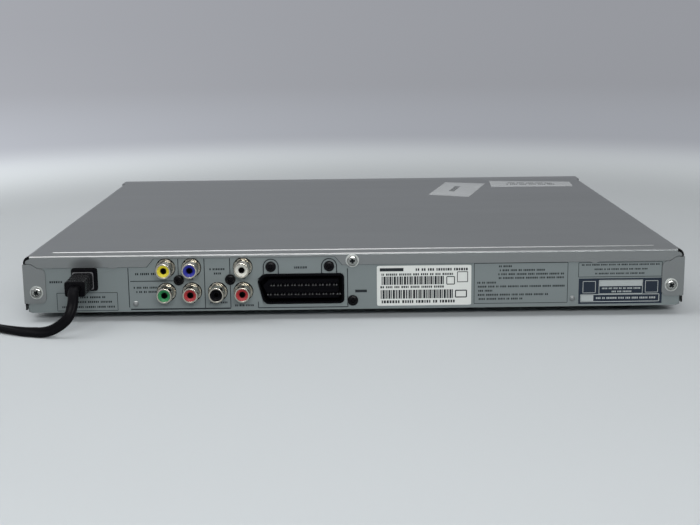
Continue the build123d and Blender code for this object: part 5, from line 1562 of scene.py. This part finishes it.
    def cord_shell(self, line: np.ndarray) -> Shell:
        """The twin cord: two round cores side by side carried along the line.

        Half the section's height is sqrt(r^2 - (|x| - a)^2) beyond the cores' middles at |x| = a, and
        r - g (1 + cos(pi x / a)) / 2 between them. Its wide way is the line's direction crossed with a guide,
        which turns from up to sideways and up again, and each ring is raised to stay on the table.

        Args:
            line: The centreline in millimetres.

        Returns:
            The closed tube.
        """
        along = np.gradient(line, axis=0)
        along /= np.linalg.norm(along, axis=1, keepdims=True)
        travel = np.concatenate([[0.0], np.cumsum(np.linalg.norm(np.diff(line, axis=0), axis=1))])
        stops, ways = [stop for stop, _ in self.guide], np.array([way for _, way in self.guide])
        guide = np.stack([np.interp(travel, stops, part) for part in ways.T], axis=-1)
        wide = np.cross(along, guide)
        wide /= np.linalg.norm(wide, axis=1, keepdims=True)
        thick = np.cross(along, wide)
        angle = np.linspace(0.0, 2 * np.pi, 36, endpoint=False)
        core = self.height / 2
        middle = self.width / 2 - core
        x = self.width / 2 * np.cos(angle)
        beyond = np.clip(np.abs(x) - middle, 0.0, core)
        dip = np.where(np.abs(x) < middle, self.groove * (1 + np.cos(np.pi * x / middle)) / 2, 0.0)
        y = np.sign(np.round(np.sin(angle), 9)) * (np.sqrt(core**2 - beyond**2) - dip)
        rings = line[:, None] + x[None, :, None] * wide[:, None] + y[None, :, None] * thick[:, None]
        rings[..., 2] += np.clip(0.02 - rings[..., 2].min(axis=1), 0.0, None)[:, None]
        return capped(rings)

    def build_plug(self) -> list[bpy.types.Object]:
        """Makes the flat two-pin plug: soft rectangles along its axis, with rings on its neck and grip.

        A ring's depth is d (1 + cos(2 pi t / p)) between two places t along the axis.

        Returns:
            The plug and its pins.
        """
        x0, y0, z0 = self.points()[-1]
        distance = np.linspace(0.0, 1.0, 121) * self.plug_length
        stops, *sizes = np.array(self.plug_form).T
        width, height = (np.interp(distance, stops, size) for size in sizes)
        for size in (width, height):
            size[6:-12] = np.convolve(size, np.ones(9) / 9, "same")[6:-12]
        groove, ridge = (
            ((distance > start) & (distance < end)) * depth * (1 + np.cos(distance * 2 * np.pi / pitch))
            for start, end, depth, pitch in self.plug_rings
        )
        rings = [
            upright(rounded_ring(w - cut - bump, h - cut, 4.5, 48) + (x0, z0), y0 - d)
            for d, w, h, cut, bump in zip(distance, width, height, groove, ridge)
        ]
        plug = self.piece("plug_moulding", capped(np.array(rings)), "lead_black")
        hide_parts("wall_plug")
        pin = turned([(self.pin_radius * share, reach) for share, reach in self.pin_form], 40)
        pins = []
        for side in (-self.pin_pitch / 2, self.pin_pitch / 2):
            across, back, up = x0 + side + pin[..., 0], y0 - self.plug_length - pin[..., 2], z0 + pin[..., 1]
            pins.append(capped(np.stack([across, back, up], axis=-1)))
        made = self.piece("plug_pins", joined(pins), "pin_metal")
        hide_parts("wall_plug_pins")
        return [plug, made]

    def build_tie(self) -> bpy.types.Object:
        """Makes the tie: a strap of soft-rectangle section carried round the turns.

        Returns:
            The tie.
        """
        x0, y0 = self.coil_centre
        inner = self.coil_start - self.half_turns * self.coil_pitch / 2 - self.width / 2
        outer = self.coil_start + self.width / 2
        low, high = self.tie_gap, self.coil_low + self.layer_pitch + self.height / 2 + self.tie_gap
        size = np.array([outer - inner + self.tie_room, high - low])
        loop, grown = (rounded_ring(*sides, 7.0, 72) for sides in (size, size + self.tie_thick))
        middle = (y0 - (inner + outer) / 2, (low + high) / 2)
        edge, flat = self.tie_half, self.tie_half - self.tie_edge
        section = ((loop, -edge), (grown, -flat), (grown, flat), (loop, edge))
        rings = np.array([np.insert(ring + middle, 0, x0 + x, axis=1) for ring, x in section])
        made = self.piece("cord_tie", grid_shell(rings, True, True), "tie_black")
        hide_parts("lead_tie")
        return made

    def build_sleeve(self) -> bpy.types.Object:
        """Makes the strain relief of soft rectangles along +Y: a plate, and a ribbed, tapered sleeve.

        Returns:
            The strain relief.
        """
        flip, count = np.array([-1.0, 1.0]), 64
        rings = [
            upright(rounded_ring(width, height, 11.0, count) * flip + (x, z), PANEL_Y + distance)
            for width, height, distance, x, z in self.plate_form
        ]
        reach = self.sleeve_tip[1] - PANEL_Y
        centre = np.array([self.sleeve_tip[0], self.sleeve_tip[2]])
        for distance in np.linspace(self.sleeve_start, reach, 110):
            share = (distance - self.sleeve_start) / (reach - self.sleeve_start)
            rib = 0.5 + 0.5 * np.cos(share * self.sleeve_ribs * 2 * np.pi)
            rib = np.clip(rib * 2.4 - 0.7, 0.0, 1.0) if share < 0.7 else 1.0
            end = np.clip((share - 0.96) / 0.04, 0.0, 1.0) ** 2 * 0.6
            depth = self.rib_depth * 2 * (1 - rib) + end
            width, height = np.array(self.sleeve_size) - depth - (0.0, self.sleeve_taper * share)
            middle = centre + share * np.array(self.sleeve_drift)
            ring = rounded_ring(width, height, 7.0, count) * flip + middle
            rings.append(upright(ring, PANEL_Y + distance))
        made = self.piece("strain_relief", capped(np.array(rings)), "bushing_black")
        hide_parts("mains_bushing")
        return made

    def build(self) -> None:
        """Makes the free cord, its coil and its tail in one tube, then the sleeve, the plug and the tie."""
        line = self.centreline()
        LOG.info("lead centreline %.1f mm", np.linalg.norm(np.diff(line, axis=0), axis=1).sum())
        cord = self.piece("mains_cord", self.cord_shell(line), "lead_black")
        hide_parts("mains_lead", "lead_coil", "lead_tail")
        pieces = [self.build_sleeve(), *self.build_plug(), self.build_tie()]


# Studio
@dataclass
class Studio:
    """Pale table that fades into the distance, soft light and the camera of the photograph."""

    focal_px: float = 1177.9
    picture_px: tuple[int, int] = (700, 525)
    sensor: float = 36.0
    spot: Point = (3.7, 777.1, 159.7)
    pitch: float = 11.54
    bank: float = -0.15
    swing: float = -0.687
    near: Colour = (0.60, 0.635, 0.655)
    middle: Colour = (0.37, 0.386, 0.423)
    far: Colour = (0.330, 0.340, 0.370)
    sky_low: Colour = (0.26, 0.27, 0.29)
    sky_high: Colour = (1.0, 1.0, 1.0)
    sky_strength: float = 0.40
    table_rings: tuple[float, ...] = (0.02, 0.5, 1.0, 2.0, 5.0, 12.0, 40.0)
    table_z: float = -0.02
    lamps: tuple[tuple[str, Point, Pair, float], ...] = (
        ("ceiling_light", (0.2, 0.38, 1.2), (1.8, 0.26), 4.6),
        ("window_light", (1.1, 0.5, 1.1), (1.2, 1.2), 3.6),
        ("room_light", (-0.15, 1.5, 0.62), (0.9, 0.18), 14.5),
        ("front_light", (0.3, -0.9, 1.6), (1.0, 0.8), 2.0),
    )

    def stand(self, name: str, data: bpy.types.ID, axes: list[np.ndarray], place: Point) -> bpy.types.Object:
        """Sets up a camera or a lamp.

        Args:
            name: Its name.
            data: The camera or the lamp.
            axes: Where its own three axes point.
            place: Where it stands, in metres.

        Returns:
            The object.
        """
        made = bpy.data.objects.new(name, data)
        bpy.context.scene.collection.objects.link(made)
        turn = Matrix(np.column_stack(axes).tolist()).to_4x4()
        turn.translation = place
        made.matrix_world = turn
        return made

    def camera(self) -> None:
        """Sets the camera: the look axis is turned by swing, pitch and bank from a level look along -Y."""
        swing, pitch, bank = (
            np.array(Matrix.Rotation(math.radians(angle), 3, axis))
            for angle, axis in ((self.swing, "Z"), (self.pitch, "X"), (self.bank, "Y"))
        )
        level = np.array([[-1.0, 0.0, 0.0], [0.0, 0.0, -1.0], [0.0, -1.0, 0.0]])
        right, down, ahead = swing @ pitch @ bank @ level
        data = bpy.data.cameras.new("camera")
        data.sensor_width = self.sensor
        data.lens = self.focal_px / self.picture_px[0] * self.sensor
        data.clip_start, data.clip_end = 0.01, 100.0
        place = tuple(part * MM for part in self.spot)
        bpy.context.scene.camera = self.stand("camera", data, [right, -down, -ahead], place)

    def seen(self, shade: Shade) -> Value:
        """One for rays that make a picture or a reflection, nought for rays that carry light.

        Args:
            shade: The material or the world under construction.

        Returns:
            The one or the nought.
        """
        rays = shade.node("ShaderNodeLightPath").outputs
        names = ("Is Camera Ray", "Is Glossy Ray", "Is Transmission Ray")
        camera, glossy, through = (Value(shade, rays[name]) for name in names)
        return (camera + glossy + through) > 0.5

    def side_light(self, side: Value) -> Value:
        """The distance is lighter towards +X: 1 + 0.4 s + 0.5 s^2, where s is x over the distance."""
        return side * 0.4 + side * side * 0.5 + 1.0

    def table(self) -> None:
        """A wide disc whose distance shines with its own even tone, so that no edge shows from any side."""
        rings = turned([(radius / MM, self.table_z) for radius in self.table_rings], 96)
        points, quads = grid_shell(rings, False, True)
        mesh = bpy.data.meshes.new("table")
        mesh.from_pydata((points * MM).tolist(), [], quads.tolist() + [list(range(96))])
        mesh.materials.append(self.table_finish())
        made = bpy.data.objects.new("table", mesh)
        bpy.context.scene.collection.objects.link(made)

    def table_finish(self) -> bpy.types.Material:
        """Near, the table takes shadows and has painted shade that darkens it towards -X; far off it turns
        into the backdrop's tone, which darkens with distance as painted shade.

        Returns:
            The material.
        """
        shade = Shade(bpy.data.materials.new("table_top"))
        x, y = shade.axis("X"), shade.axis("Y")
        size = (x * x + y * y).root()
        # Painted shade: the backdrop's tone darkens from near to middle to far.
        tone = shade.mix(size.ramp(0.5, 0.95), self.near, self.middle)
        tone = shade.mix(size.ramp(0.9, 2.4), tone, self.far)
        # Painted shade: the near table is a tenth darker towards -X.
        side = x.ramp(-0.45, 0.45) * 0.10 + 0.90
        base = shade.mix(shade.noise(5.0, 3.0) * 0.03 + side * 0.97, (0.0, 0.0, 0.0), self.near)
        cloth = shade.node("ShaderNodeBsdfDiffuse", inputs={"Color": base}).outputs[0]
        shine = shade.strengthened(tone, self.side_light(x / (size + 0.001)))
        glow = shade.node("ShaderNodeEmission", inputs={"Color": shine}).outputs[0]
        fog = size.ramp(0.38, 0.75) * self.seen(shade)
        return shade.close(shade.node("ShaderNodeMixShader", inputs={0: fog, 1: cloth, 2: glow}).outputs[0])

    def sky(self) -> None:
        """The world: soft even light, and the backdrop's tone where it is seen."""
        world = bpy.data.worlds.new("studio")
        bpy.context.scene.world = world
        shade = Shade(world)
        x, z = shade.axis("X", "Generated"), shade.axis("Z", "Generated")
        tone = shade.strengthened(self.far, self.side_light(x))
        seen = shade.node("ShaderNodeBackground", inputs={"Color": tone}).outputs[0]
        soft = shade.mix(z.ramp(0.02, 0.75), self.sky_low, self.sky_high)
        inputs = {"Color": soft, "Strength": self.sky_strength}
        light = shade.node("ShaderNodeBackground", inputs=inputs).outputs[0]
        made = shade.node("ShaderNodeMixShader", inputs={0: self.seen(shade), 1: light, 2: seen})
        shade.close(made.outputs[0], "ShaderNodeOutputWorld")

    def lamp(self, name: str, place: Point, size: Pair, power: float) -> None:
        """A lamp with a flat face that points at the object.

        Args:
            name: Its name.
            place: Where it hangs, in metres.
            size: Its two sides in metres, the level one first.
            power: Its power in watts.
        """
        data = bpy.data.lights.new(name, "AREA")
        data.shape = "RECTANGLE"
        data.size, data.size_y = size
        data.energy = power
        back = np.array(place) / np.linalg.norm(place)
        side = np.cross([0.0, 0.0, 1.0], back)
        side = side / np.linalg.norm(side)
        self.stand(name, data, [side, np.cross(back, side), back], place)

    def build(self) -> None:
        """Sets the camera, the table, the world and the lamps."""
        bpy.context.scene.view_settings.view_transform = "Standard"
        self.camera()
        self.table()
        self.sky()
        for lamp in self.lamps:
            self.lamp(*lamp)


def main() -> None:
    """Builds the scene in order."""
    logging.basicConfig(level=logging.INFO, format="%(name)s: %(message)s")
    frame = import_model()
    finishes = Finishes()
    finishes.dress_nodes(frame)
    for sub_assembly in (Jacks, FlatSocket, Screws, PanelPrint, CoverStickers, Lead):
        sub_assembly(finishes).build()
    Studio().build()


if __name__ == "__main__":
    main()
